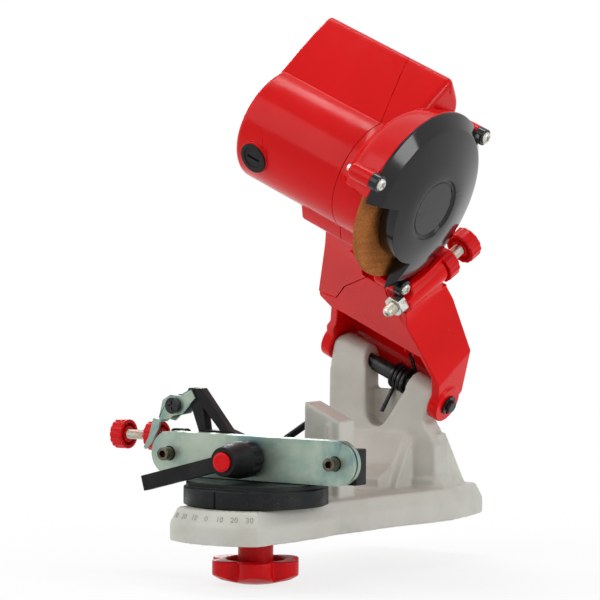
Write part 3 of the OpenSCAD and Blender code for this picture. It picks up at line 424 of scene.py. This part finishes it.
tilt = radians(25)
pivot = Matrix.Translation((0, 151, 91.6)) @ Matrix.Rotation(tilt, 4, "Y")
wire_r, coil_r, coil_turns, coil_from, coil_pitch = 1.3, 7.2, 4, 4.4, 2.9
first = -27.0
last = first + 360*coil_turns + 77
count = 40*coil_turns
path = [Vector((8.5, -4.5, -24.5))]
for i in range(count + 1):
    a = first + (last - first)*i/count
    path.append(Vector((coil_from + (a - first)/360*coil_pitch, coil_r*cos(radians(a)), coil_r*sin(radians(a)))))
path.append(Vector((16.4, -13.2, 20.4)))
line = bpy.data.meshes.new("spring_wire")
line.from_pydata([(pivot @ p)*mm for p in path], [(i, i + 1) for i in range(len(path) - 1)], [])
wire_tree, give = node_group("wire_tree", Wire_radius="Float", Sides="Int", Finish="Material")
curve = step(wire_tree, "MeshToCurve", {"Mesh": give["Geometry"]})
ring = step(wire_tree, "CurvePrimitiveCircle", {"Resolution": give["Sides"], "Radius": give["Wire radius"]})
swept = step(wire_tree, "CurveToMesh", {"Curve": curve.outputs[0], "Profile Curve": ring.outputs[0],
                                        "Fill Caps": True})
end_tree(wire_tree, swept.outputs[0], give["Finish"])
spring = smooth(grow("torsion_spring", wire_tree, line, Wire_radius=wire_r*mm, Sides=14, Finish=blued))
finished(spring, blued, "return_spring")

# ---- chain guide ----
# A black rod with a tapered end, pressed into the left side of the pillar, that
# carries the slack chain away from the wheel.
satin_black = cloudy(material("satin_black_plastic", (0.010, 0.010, 0.011), 0.4, specular=0.16), (60, 7, 0.65),
                     [(0.42, (0.007, 0.007, 0.008)), (0.62, (0.014, 0.014, 0.015)), (0.8, (0.035, 0.035, 0.035))],
                     (150, 4, 0.34, 0.55), [(1600, 2, 0.00006)])
rounded_copy("chain_guide", "chain_guide_rod", 0.4, satin_black)

# ---- motor housing ----
# The closed half of the motor's shell: a barrel with a box on top for the switch
# and wires, glossy red, with a round socket for each brush.
gloss_red = cloudy(material("gloss_red_plastic", (0.66, 0.002, 0.003), 0.14, specular=0.15), (18, 3),
                   [(0.3, (0.63, 0.0015, 0.002)), (0.7, (0.71, 0.0025, 0.004))],
                   (90, 5, 0.12, 0.24), [(140, 2, 0.00006)])
head = pivot @ Matrix.Rotation(radians(-44), 4, "X")
side = head @ Matrix(((0, 0, 1, 0), (1, 0, 0, 0), (0, 1, 0, 0), (0, 0, 0, 1)))
face_on = head @ Matrix(((1, 0, 0, 0), (0, 0, 1, 0), (0, 1, 0, 0), (0, 0, 0, 1)))
axis_y, axis_u = -148.6, 33.6
barrel_r, wall, closed_end, seam = 36.5, 2.5, -97.0, -18.5
inner_end = closed_end + 3
box_top, box_end = 99.2, 96.7
brush_m, brush_angles = -80, (-108, 72)
socket_r, socket_height, socket_bore_r = 10.5, 37.5, 8.5
inlet_y, inlet_u, inlet_r = -130, 30, 5.55
saddle_outline = [(-136, 20), (-134.5, 1.6), (-132, 0.4), (-123, -0.8), (-120, 0.2), (-118.02, 2.5),
                  (-118.02, 42), (-136, 46)]
seam_outline = [(-200, -200), (seam, -200), (seam, axis_u + 16), (seam - 15.5, 96.6), (seam - 15.5, 300),
                (-200, 300)]


def on_motor(m=0.0, y=axis_y, u=axis_u):
    """A frame whose Z runs along the motor's axis, towards the wheel."""
    return head @ Matrix.Translation((m, y, u)) @ Matrix.Rotation(pi/2, 4, "Y")


def on_brush(angle):
    return head @ Matrix.Translation((brush_m, axis_y, axis_u)) @ Matrix.Rotation(radians(angle - 90), 4, "X")


def shape(name, points, faces, place):
    """A closed mesh from points in millimetres, put in place, with its faces outwards."""
    work = bmesh.new()
    made = [work.verts.new((place @ Vector(p))*mm) for p in points]
    for face in faces:
        work.faces.new([made[i] for i in face])
    bmesh.ops.recalc_face_normals(work, faces=work.faces)
    mesh = bpy.data.meshes.new(name)
    work.to_mesh(mesh)
    work.free()
    return stand(name, mesh)


def turned(name, profile, place, around=96, closed=False):
    """Turns a profile of (radius, height) round an axis."""
    points, rings, faces = [], [], []
    for r, z in profile:
        number = 1 if r == 0 else around
        rings.append(list(range(len(points), len(points) + number)))
        points += [(r*cos(2*pi*k/around), r*sin(2*pi*k/around), z) for k in range(number)]
    for low, high in list(zip(rings, rings[1:])) + ([(rings[-1], rings[0])] if closed else []):
        for k in range(around):
            n = (k + 1) % around
            loop = [low[k % len(low)], low[n % len(low)], high[n % len(high)], high[k % len(high)]]
            faces.append(list(dict.fromkeys(loop)))
    return shape(name, points, faces, place)


def round_bar(name, r, low, high, place, around=96, bore=0):
    """A cylinder, or a ring where it has a bore."""
    return turned(name, [(bore, low), (r, low), (r, high), (bore, high)], place, around, closed=bore > 0)


def extruded(name, outline, low, high, place, soften=0.0):
    """A prism over an outline; soften rounds the edges of its upper end."""
    n = len(outline)
    points = [(x, y, low) for x, y in outline] + [(x, y, high) for x, y in outline]
    faces = [list(range(n))[::-1], list(range(n, 2*n))]
    faces += [[i, (i + 1) % n, n + (i + 1) % n, n + i] for i in range(n)]
    piece = shape(name, points, faces, place)
    if soften:
        work = bmesh.new()
        work.from_mesh(piece.data)
        work.faces.ensure_lookup_table()
        bmesh.ops.bevel(work, geom=list(work.faces[1].edges), offset=soften*mm, segments=6, profile=0.5,
                        affect="EDGES")
        work.to_mesh(piece.data)
        work.free()
    return piece


def rectangle(left, low, right, high):
    return [(left, low), (right, low), (right, high), (left, high)]


def combined(base, operation, *others):
    """Adds pieces to a base, or cuts them from it."""
    for other in others:
        tool = base.modifiers.new("combine", "BOOLEAN")
        tool.operation = operation
        tool.object = other
        tool.solver = "EXACT"
        settle(base)
        bpy.data.objects.remove(other)
    return base


def arc(x, y, r, start, end, steps):
    turns = [radians(start + (end - start)*i/steps) for i in range(steps + 1)]
    return [(x + r*cos(a), y + r*sin(a)) for a in turns]


def box_outline(inset):
    """Section of the box: a front that leans out to a tight edge, a nearly flat top and a round rear edge."""
    front = [(-181.8, axis_u), (-181.8, 48.3), (-184.6, 66), (-186.3, 80), (-186.9, 91.5)]
    return ([(x + inset, y) for x, y in front] + arc(-182.3, 93.6, 4.6 - inset, 170, 96, 8)
            + [(-177, 98.8 - inset), (-171, box_top - inset)]
            + arc(-167.2, box_top - 16, 16 - inset, 90, 0, 14) + [(-149.6 - inset, 62), (-149.6 - inset, axis_u)])


def barrel(name, r, start, end, edge):
    rounding = [(r - edge + x, start + edge + y) for x, y in arc(0, 0, edge, -90, 0, 8)]
    return turned(name, [(0, start)] + rounding + [(r, end), (0, end)], on_motor())


shell = barrel("motor_housing_shell", barrel_r, closed_end, 0, 4)
socket = [(0, 10), (socket_r, 10), (socket_r, socket_height - 0.6), (socket_r - 0.6, socket_height), (0, socket_height)]
combined(shell, "UNION",
         extruded("box", box_outline(0), -2, box_end, side @ Matrix.Scale(-1, 4, (0, 0, 1)), soften=2.0),
         extruded("saddle", saddle_outline, -49.25, 4, side),
         *[turned("socket", socket, on_brush(a), 48) for a in brush_angles])
combined(shell, "INTERSECT", extruded("seam_side", seam_outline, -400, 50, face_on))
combined(shell, "DIFFERENCE",
         barrel("hollow", barrel_r - wall, inner_end, 5, 3),
         extruded("box_hollow", box_outline(wall), inner_end, -5, side),
         *[round_bar("socket_bore", socket_bore_r, 5, 45, on_brush(a), 48) for a in brush_angles],
         extruded("switch_hole", rectangle(-178.2, 55.8, -155.8, 84.2), -102, -82, side),
         round_bar("inlet_hole", inlet_r, -102, -82, on_motor(0, inlet_y, inlet_u), 48))
finished(eased(shell, 0.45), gloss_red, "motor_housing")

# ---- front housing ----
# The other half of the shell: it carries the front bearing, closes the box on
# top, and flares into a bell that meets the guard and has its screw bosses.
parting, box_front = 17.4, 0.2
flare = [(36.5, -14.6), (37.2, -13.4), (38.8, -12.0), (41.4, -10.3), (44.6, -8.4), (47.6, -6.4), (50.0, -4.0),
         (51.7, -1.0), (53.0, 2.6), (54.4, 6.6), (55.6, 10.4), (56.8, 14.0), (57.8, 16.6), (57.8, parting)]
ear_angles, ear_ring, ear_r = (92, 212, 332), 59.8, 5.2
boss = [(0, 0.6), (2.6, 0.6), (4.4, 1.6), (ear_r, 3.6), (ear_r, parting), (0, parting)]


def on_ear(angle):
    return on_motor(0, axis_y + ear_ring*cos(radians(angle)), axis_u + ear_ring*sin(radians(angle)))


def wedge(name, low, high, half, inner):
    """The room for the wheel at the guard's foot: a sector round the motor's axis, from an inner radius outwards."""
    return extruded(name, arc(0, 0, 90, 1 - half, 1 + half, 24) + arc(0, 0, inner, 1 + half, 1 - half, 24),
                    low, high, on_motor())


front = turned("front_housing_shell", [(0, -40), (barrel_r, -40)] + flare
               + [(54.6, parting), (53.9, 6.0), (50.0, 4.0), (0, 4)], on_motor(), 128)
combined(front, "DIFFERENCE", wedge("wheel_room", -30, 30, 48, barrel_r))
combined(front, "UNION", extruded("box", box_outline(0), -60, box_front, side, soften=4.5),
         extruded("saddle", saddle_outline, -40, 4, side))
combined(front, "DIFFERENCE", extruded("seam_side", [(x + 0.12, y) for x, y in seam_outline], -400, 50, face_on))
combined(front, "UNION", *[turned("boss", boss, on_ear(a), 48) for a in ear_angles],
         *[extruded("web", rectangle(50, -4.6, 58, 4.6), 5.5, parting,
                    on_motor() @ Matrix.Rotation(radians(90 + a), 4, "Z")) for a in ear_angles])
combined(front, "DIFFERENCE",
         round_bar("hollow", 34, -60, -9, on_motor()),
         extruded("box_hollow", box_outline(wall), -60, -4, side),
         round_bar("bore", 7, -20, 20, on_motor(), 48))
finished(eased(front, 0.45), gloss_red, "front_housing")

# ---- swing arm and its cover ----
# The arm is one moulding in glossy red plastic with two cheeks that swing on the
# pivot and a hood behind the posts; a cover closes its hollow, where the seam is.
moulded_red = cloudy(material("moulded_red_plastic", (0.70, 0.002, 0.003), 0.22, specular=0.15), (24, 3),
                     [(0.3, (0.67, 0.0015, 0.002)), (0.6, (0.73, 0.002, 0.003)), (0.8, (0.78, 0.004, 0.006))],
                     (60, 4, 0.18, 0.28), [(300, 3, 0.00003)])
hood_half, hood_r, hood_inner_r = 41, 15.8, 14.0
hood = (arc(0, 0, hood_r, 12, 78, 16) + [(0, 17.9), (-8, 21.7), (-8, 17.4), (0, hood_inner_r)]
        + arc(0, 0, hood_inner_r, 78, 12, 16))
arm = eased(merged_copy("swing_arm", "swing_arm_moulding"), 0.9)
combined(arm, "UNION", extruded("hood", hood, -hood_half, hood_half, side))
finished(smooth(arm), moulded_red, "swing_arm")
rounded_copy("arm_cover", "arm_cover_moulding", 0.4, moulded_red)

# ---- motor insides ----
# Laminated stator and its two coils pressed into the barrel, a bearing in each
# half of the shell, and the brass holders in which the carbon brushes slide.
iron = material("laminated_iron", (0.20, 0.20, 0.21), 0.5, metal=0.8)
tree = iron.node_tree
across = put(tree, "Mapping", {"Vector": tree.nodes.new("ShaderNodeTexCoord").outputs["Object"],
                               "Rotation": (0, tilt, 0)})
sheets = new_node(tree, "ShaderNodeTexWave", {"Vector": across, "Scale": 240.0, "Distortion": 0.4},
                  wave_type="BANDS", bands_direction="X").outputs["Fac"]
dress(iron, ramp(tree, sheets, (0.2, (0.10, 0.10, 0.105)), (0.8, (0.24, 0.24, 0.25))), sheets, [(sheets, 0.00006)])
copper = cloudy(material("lacquered_copper", (0.45, 0.16, 0.06), 0.35, metal=0.9), (400,),
                [(0.3, (0.36, 0.12, 0.04)), (0.7, (0.55, 0.22, 0.09))], bumps=[(1500, 4, 0.0001)])
brass = cloudy(material("brass", (0.60, 0.42, 0.16), 0.35, metal=0.9), (200,),
               [(0.3, (0.52, 0.36, 0.12)), (0.7, (0.66, 0.48, 0.2))], (400, 4, 0.28, 0.45))
carbon = cloudy(material("carbon", (0.03, 0.03, 0.032), 0.7), (900,),
                [(0.3, (0.02, 0.02, 0.02)), (0.7, (0.05, 0.05, 0.052))], bumps=[(2500, 4, 0.00008)])
bright_steel = cloudy(material("bright_steel", (0.60, 0.59, 0.56), 0.28, metal=1.0), (220, 5),
                      [(0.3, (0.50, 0.49, 0.45)), (0.6, (0.64, 0.63, 0.59)), (0.8, (0.72, 0.71, 0.69))],
                      (500, 4, 0.2, 0.4), [(1400, 4, 0.00003)])
for node, stuff, width in (("stator_core", iron, 0.3), ("field_coils", copper, 1.2),
                           ("rear_bearing", bright_steel, 0.4), ("front_bearing", bright_steel, 0.4),
                           ("brush_holders", brass, 0.3), ("carbon_brushes", carbon, 0.2)):
    rounded_copy(node, node + "_fitted", width, stuff)

# ---- brush caps ----
# A black screw cap over each carbon brush, with a raised rim and a slot for a
# coin, so that worn brushes can be changed from outside.
fastener_tree, give = node_group("fastener_tree", Piece="Object", Finish="Material")
one = step(fastener_tree, "ObjectInfo", {"Object": give["Piece"]}, transform_space="ORIGINAL")
end_tree(fastener_tree, on_points(fastener_tree, give["Geometry"], one.outputs["Geometry"]), give["Finish"])


def repeated(name, piece, places, stuff):
    """Puts a copy of one fastener at each place."""
    points = turned_points(name, [place.translation*mm for place in places], [place.to_euler() for place in places])
    made = grow(name, fastener_tree, points, Piece=piece, Finish=stuff)
    bpy.data.objects.remove(piece)
    return made


flat = Matrix()
cap_profile = [(0, -4), (8.4, -4), (8.4, -0.1), (9.6, 0.02), (9.6, 0.9), (9.25, 1.22), (7.1, 1.22), (6.6, 0.8),
               (6.5, 0.45), (0, 0.45)]
cap = combined(turned("cap", cap_profile, flat, 64), "DIFFERENCE",
               extruded("slot", rectangle(-4.6, -0.9, 4.6, 0.9), -1.0, 3, flat))
cap_places = [on_brush(a) @ Matrix.Translation((0, 0, socket_height)) for a in brush_angles]
finished(repeated("brush_caps_screwed_in", eased(cap, 0.15), cap_places, satin_black), satin_black, "brush_caps")

# ---- switch and cord inlet ----
# A rocker switch snapped into the box's closed end, trimmed where the box's front
# leans, and below it the rubber gland in which a mains cord would be held.
rubber = cloudy(material("rubber", (0.02, 0.02, 0.02), 0.65, specular=0.3), (250,),
                [(0.3, (0.014, 0.014, 0.014)), (0.7, (0.035, 0.034, 0.033))], bumps=[(1200, 4, 0.0001)])
gloss_black = cloudy(material("gloss_black_plastic", (0.003, 0.003, 0.0035), 0.08, specular=0.36), (25, 4),
                     [(0.3, (0.0025, 0.0025, 0.003)), (0.7, (0.005, 0.005, 0.006))],
                     (45, 5, 0.07, 0.16), [(30, 2, 0.00012)])
switch = combined(merged_copy("switch_body", "switch_body_snapped_in"), "INTERSECT",
                  extruded("trim", rectangle(-178.4, 40, -140, 100), -110, -60, side))
finished(eased(switch, 0.4), satin_black, "switch_body")
rounded_copy("switch_rocker", "switch_rocker_moulding", 0.4, gloss_black)
rounded_copy("cord_inlet", "cord_inlet_gland", 0.5, rubber)

# ---- spindle ----
# Steel shaft through both bearings with the laminated rotor, its copper ends
# and commutator, the fan, and the two flanges that clamp the wheel.
for node, stuff, width in (("motor_shaft", bright_steel, 0.5), ("rotor_core", iron, 0.3),
                           ("rotor_windings", copper, 1.5), ("commutator", copper, 0.3),
                           ("cooling_fan", satin_black, 0.25), ("inner_flange", bright_steel, 0.4),
                           ("outer_flange", bright_steel, 0.5), ("wheel_nut", bright_steel, 0.5)):
    rounded_copy(node, node + "_on_spindle", width, stuff)

# ---- grinding wheel ----
# A thin wheel of pressed brown grit, with its rim dressed slightly round and
# fine scratches left in the flat faces.
grit = material("brown_grit", (0.37, 0.125, 0.033), 0.85, specular=0.12)
tree = grit.node_tree
scratch = noise(tree, 40, 8, 0.7, stretch=((1, 1, 9), (radians(55), 0, 0)))
spread = put(tree, "MixRGB", {"Fac": 0.35, "Color1": noise(tree, 900, 4, 0.7), "Color2": scratch})
dress(grit, ramp(tree, spread, (0.36, (0.25, 0.075, 0.017)), (0.5, (0.38, 0.13, 0.033)), (0.64, (0.52, 0.21, 0.065))),
      heights=[(noise(tree, 1800, 4, 0.7), 0.00025)])
wheel_bore = 11.1
wheel_profile = [(wheel_bore, 10.6), (51.6, 10.6), (52.2, 10.95), (52.5, 11.6), (52.5, 12.8), (52.2, 13.45),
                 (51.6, 13.8), (wheel_bore, 13.8)]
finished(smooth(turned("grinding_wheel_pressed", wheel_profile, on_motor(), 160, closed=True)), grit,
         "grinding_wheel")

# ---- wheel guard ----
# A shallow cover moulded in gloss black plastic: a dome with a bevelled rim, a
# plain recessed disc, a shallow crescent beside it, and a gap for the wheel.
ear_back, ear_front = parting + 0.05, 22.6
disc = [(0, 29.7), (18.9, 29.7), (19.3, 30.0), (19.9, 31.2), (19.9, 40), (0, 40)]
moon = [(-x, y) for x, y in arc(0, 0, 47.5, 52, 108, 20) + arc(-7, 0, 51.5, 100, 60, 20)]
on_depth = head @ Matrix.Translation((20, -86.3, -4.2)) @ Matrix.Rotation(radians(-9), 4, "X")


def dome(name, inset, lower=0.0, start=4.02):
    """The guard's outer form, let in all round by inset and with its face lowered."""
    r = 57.8 - inset
    face = [(50.5 - 0.7*inset, 24.15), (49.4 - 0.7*inset, 24.75), (44, 26.45), (37, 28.45), (30, 30.05), (24, 31),
            (0, 31)]
    return turned(name, [(0, start), (r, start), (r, 17.9 - 0.4*inset), (r - 0.3, 18.6 - 0.4*inset)]
                  + [(x, z - inset - lower) for x, z in face], on_motor(), 160)


guard = dome("wheel_guard_cover", 0, start=ear_back)
combined(guard, "DIFFERENCE", combined(dome("room", wall), "DIFFERENCE", wedge("kept", 14.8, 60, 48, 34.2)))
combined(guard, "UNION", *[round_bar("ear", ear_r, ear_back, ear_front, on_ear(a), 48) for a in ear_angles])
combined(guard, "DIFFERENCE",
         wedge("gap", -5, 60, 45, 36.7),
         turned("disc", disc, on_motor(), 128),
         round_bar("disc_groove", 18.3, 29.3, 30.5, on_motor(), 128, bore=17.2),
         round_bar("nut_room", 7.5, -3, 6.8, on_depth, 48),
         combined(extruded("crescent", moon, 20, 40, on_motor()), "DIFFERENCE", dome("under_crescent", 0, 0.55)))
finished(eased(guard, 0.3, angle=26), gloss_black, "guard_cover")

# ---- guard screws ----
# Three pan-head screws with cross recesses, through the guard's ears into the
# bosses of the front housing.
shank_r, shank, head_floor = 2.0, 24, 0.8
slot_half, slot_half_width = 2.2, 0.45
pan = [(3.8, 0), (3.8, 0.5), (3.6, 1.2), (3.1, 1.75), (2.2, 2.0), (0, 2.0)]
screw = turned("screw", [(0, -shank), (shank_r, -shank), (shank_r, 0)] + pan, flat, 48)
combined(screw, "DIFFERENCE", *[extruded("slot", rectangle(-a, -b, a, b), head_floor, 20, flat)
                                for a, b in ((slot_half, slot_half_width), (slot_half_width, slot_half))])
screw_places = [on_ear(a) @ Matrix.Translation((0, 0, ear_front)) for a in ear_angles]
finished(repeated("guard_screws_in_ears", eased(screw, 0.12), screw_places, bright_steel), bright_steel,
         "guard_screws")

# ---- depth screw ----
# A zinc screw with a round tip that stops the head on the pillar, a nut at its
# foot, and two red wheels: the lower locks it, the upper turns it.
zinc_screw = cloudy(material("zinc_screw", (0.56, 0.53, 0.45), 0.3, metal=1.0), (200, 5),
                    [(0.3, (0.46, 0.42, 0.32)), (0.55, (0.60, 0.57, 0.49)), (0.8, (0.70, 0.69, 0.66))],
                    (400, 4, 0.22, 0.42), [(1500, 4, 0.00003)])
knob_red = cloudy(material("knob_red_plastic", (0.64, 0.003, 0.005), 0.3, specular=0.15), (120, 4),
                  [(0.3, (0.60, 0.002, 0.004)), (0.7, (0.71, 0.004, 0.008))],
                  (300, 4, 0.26, 0.42), [(900, 3, 0.00006)])
nut_chamfer = [(0, -0.01), (6.0, -0.01), (7.4, 0.75), (7.4, 5.75), (6.0, 6.51), (0, 6.51)]
grip_r, grip_height, grip_bore = 10.6, 9.0, 3.3


def threaded(name, place, r, length, pitch, tip=0.0, around=28):
    """A screw with a helical thread, from its tip at 0; a tip above 0 rounds the end."""
    rows = int(length/pitch*5)
    points, faces = [], []
    for i in range(rows + 1):
        z = length*i/rows
        for k in range(around):
            wave = abs(((z/pitch - k/around) % 1)*2 - 1)
            size = r - 0.52*min(1, max(0, wave*1.5 - 0.25))
            if tip and z < tip:
                size = min(size, sqrt(max(0.01, tip*tip - (tip - z)**2)))
            elif z < 0.4 or z > length - 0.4:
                size = min(size, r - 0.45)
            points.append((size*cos(2*pi*k/around), size*sin(2*pi*k/around), z))
    for i in range(rows):
        for k in range(around):
            n = (k + 1) % around
            faces.append([i*around + k, i*around + n, (i + 1)*around + n, (i + 1)*around + k])
    faces += [list(range(around))[::-1], list(range(rows*around, (rows + 1)*around))]
    return smooth(shape(name, points, faces, place), 60)


def grip_wheel(name, height_on_screw):
    """A thumbwheel with soft lobes round it and a ring-shaped hollow in its lower face."""
    place = on_depth @ Matrix.Translation((0, 0, height_on_screw))
    ripple = [(radians(3*k), grip_r - 0.2 + 0.2*cos(radians(42*k))) for k in range(120)]
    wheel = extruded(name, [(size*cos(a), size*sin(a)) for a, size in ripple], 0, grip_height, place)
    combined(wheel, "DIFFERENCE", round_bar("bore", grip_bore, -1, grip_height + 1, place, 48),
             round_bar("hollow", 0.78*grip_r, -1, 2.6, place, 64, bore=0.52*grip_r))
    return eased(wheel, 0.5)


finished(threaded("depth_screw_threaded", on_depth @ Matrix.Translation((0, 0, -8)), 3.75, 82.5, 1.25, tip=3.75),
         zinc_screw, "depth_screw")
nut = combined(merged_copy("depth_nut", "depth_nut_chamfered"), "INTERSECT",
               turned("chamfer", nut_chamfer, on_depth, 64))
finished(eased(nut, 0.12, angle=20), bright_steel, "depth_nut")
finished(grip_wheel("depth_turning_wheel", 64.2), knob_red, "depth_knob")
finished(grip_wheel("depth_locking_wheel", 43.1), knob_red, "depth_lock_wheel")

# ---- turntable and vise body ----
# Moulded black disc with an index notch in its stepped front edge, on the stud
# about which it turns, and the vise body that stands on it.
dusty_black = material("dusty_black_plastic", (0.012, 0.013, 0.014), 0.45, specular=0.16)
tree = dusty_black.node_tree
dust = put(tree, "Math", {0: noise(tree, 900, 6, 0.75), 1: noise(tree, 45, 4)}, operation="MULTIPLY")
dress(dusty_black,
      ramp(tree, dust, (0.24, (0.009, 0.010, 0.011)), (0.36, (0.019, 0.020, 0.020)), (0.5, (0.075, 0.077, 0.068))),
      vary(tree, noise(tree, 150), 0.36, 0.58), [(noise(tree, 1600, 2), 0.00006)])
rounded_copy("turntable_stud", "turntable_stud_zinc", 0.4, bright_steel)
rounded_copy("turntable", "turntable_disc", 0.6, dusty_black)
rounded_copy("vise_body", "vise_body_moulding", 0.5, satin_black)

# ---- rails ----
# Two flat bars with round ends, punched from steel strip and zinc plated; the
# plating has gone blotchy. The front one slides on hollow screws.
zinc_plate = cloudy(material("zinc_plate", (0.40, 0.45, 0.42), 0.36, metal=0.75), (26, 7, 0.62, None, 0.4),
                    [(0.34, (0.11, 0.20, 0.22)), (0.45, (0.24, 0.34, 0.30)), (0.56, (0.36, 0.44, 0.36)),
                     (0.72, (0.46, 0.52, 0.43))],
                    (60, 6, 0.28, 0.46), [(700, 4, 0.00005)])
bronzed = cloudy(material("bronzed_steel", (0.10, 0.08, 0.06), 0.3, metal=0.9), (260, 4),
                 [(0.3, (0.07, 0.055, 0.04)), (0.6, (0.15, 0.125, 0.095)), (0.8, (0.26, 0.22, 0.17))],
                 (500, 4, 0.22, 0.4), [(1500, 4, 0.00004)])
rounded_copy("rear_rail", "rear_rail_plated", 0.3, zinc_plate)
rounded_copy("front_rail", "front_rail_plated", 0.3, zinc_plate)
rounded_copy("rail_screws", "rail_screws_hollow", 0.35, bronzed)
rounded_copy("clamp_stud", "clamp_stud_zinc", 0.4, bright_steel)

# ---- clamp lever ----
# A fluted black hub on the stud with a flat bar as its handle; the red button
# in the end, a loose fit, lets the handle be set to another angle.
button_play = 0.09*mm
rounded_copy("clamp_lever", "clamp_lever_moulding", 0.4, satin_black)
button = eased(merged_copy("lever_button", "lever_button_moulding"), 0.4)
for point in button.data.vertices:
    point.co -= point.normal*button_play
finished(button, knob_red, "lever_button")

# ---- lock knob ----
# A dished red knob with six lobes on the stud under the base: it pulls the
# washer up and so locks the turntable at its angle.
rounded_copy("lock_washer", "lock_washer_stamped", 0.25, bright_steel)
finished(tumbled(merged_copy("lock_knob", "lock_knob_moulding"), 0.0006, 8), knob_red, "lock_knob")

# ---- chain stop ----
# A black webbed arm behind the rails, moved by a zinc screw with a red knob and
# held by a red wheel; the folded pawl on its end stops each link of the chain.
rounded_copy("stop_arm", "stop_arm_moulding", 0.5, satin_black)
along_x = Matrix.Translation((-106.5, 8.6, 55.5)) @ Matrix.Rotation(pi/2, 4, "Y")
finished(threaded("stop_screw_threaded", along_x, 3.0, 67.5, 1.0, around=24), zinc_screw, "stop_screw")
rounded_copy("stop_knob", "stop_turning_knob", 0.45, knob_red)
rounded_copy("stop_lock_wheel", "stop_locking_wheel", 0.45, knob_red)
rounded_copy("stop_pawl", "stop_pawl_folded", 0.2, zinc_plate)
rounded_copy("pawl_screw", "pawl_pivot_screw", 0.25, blued)
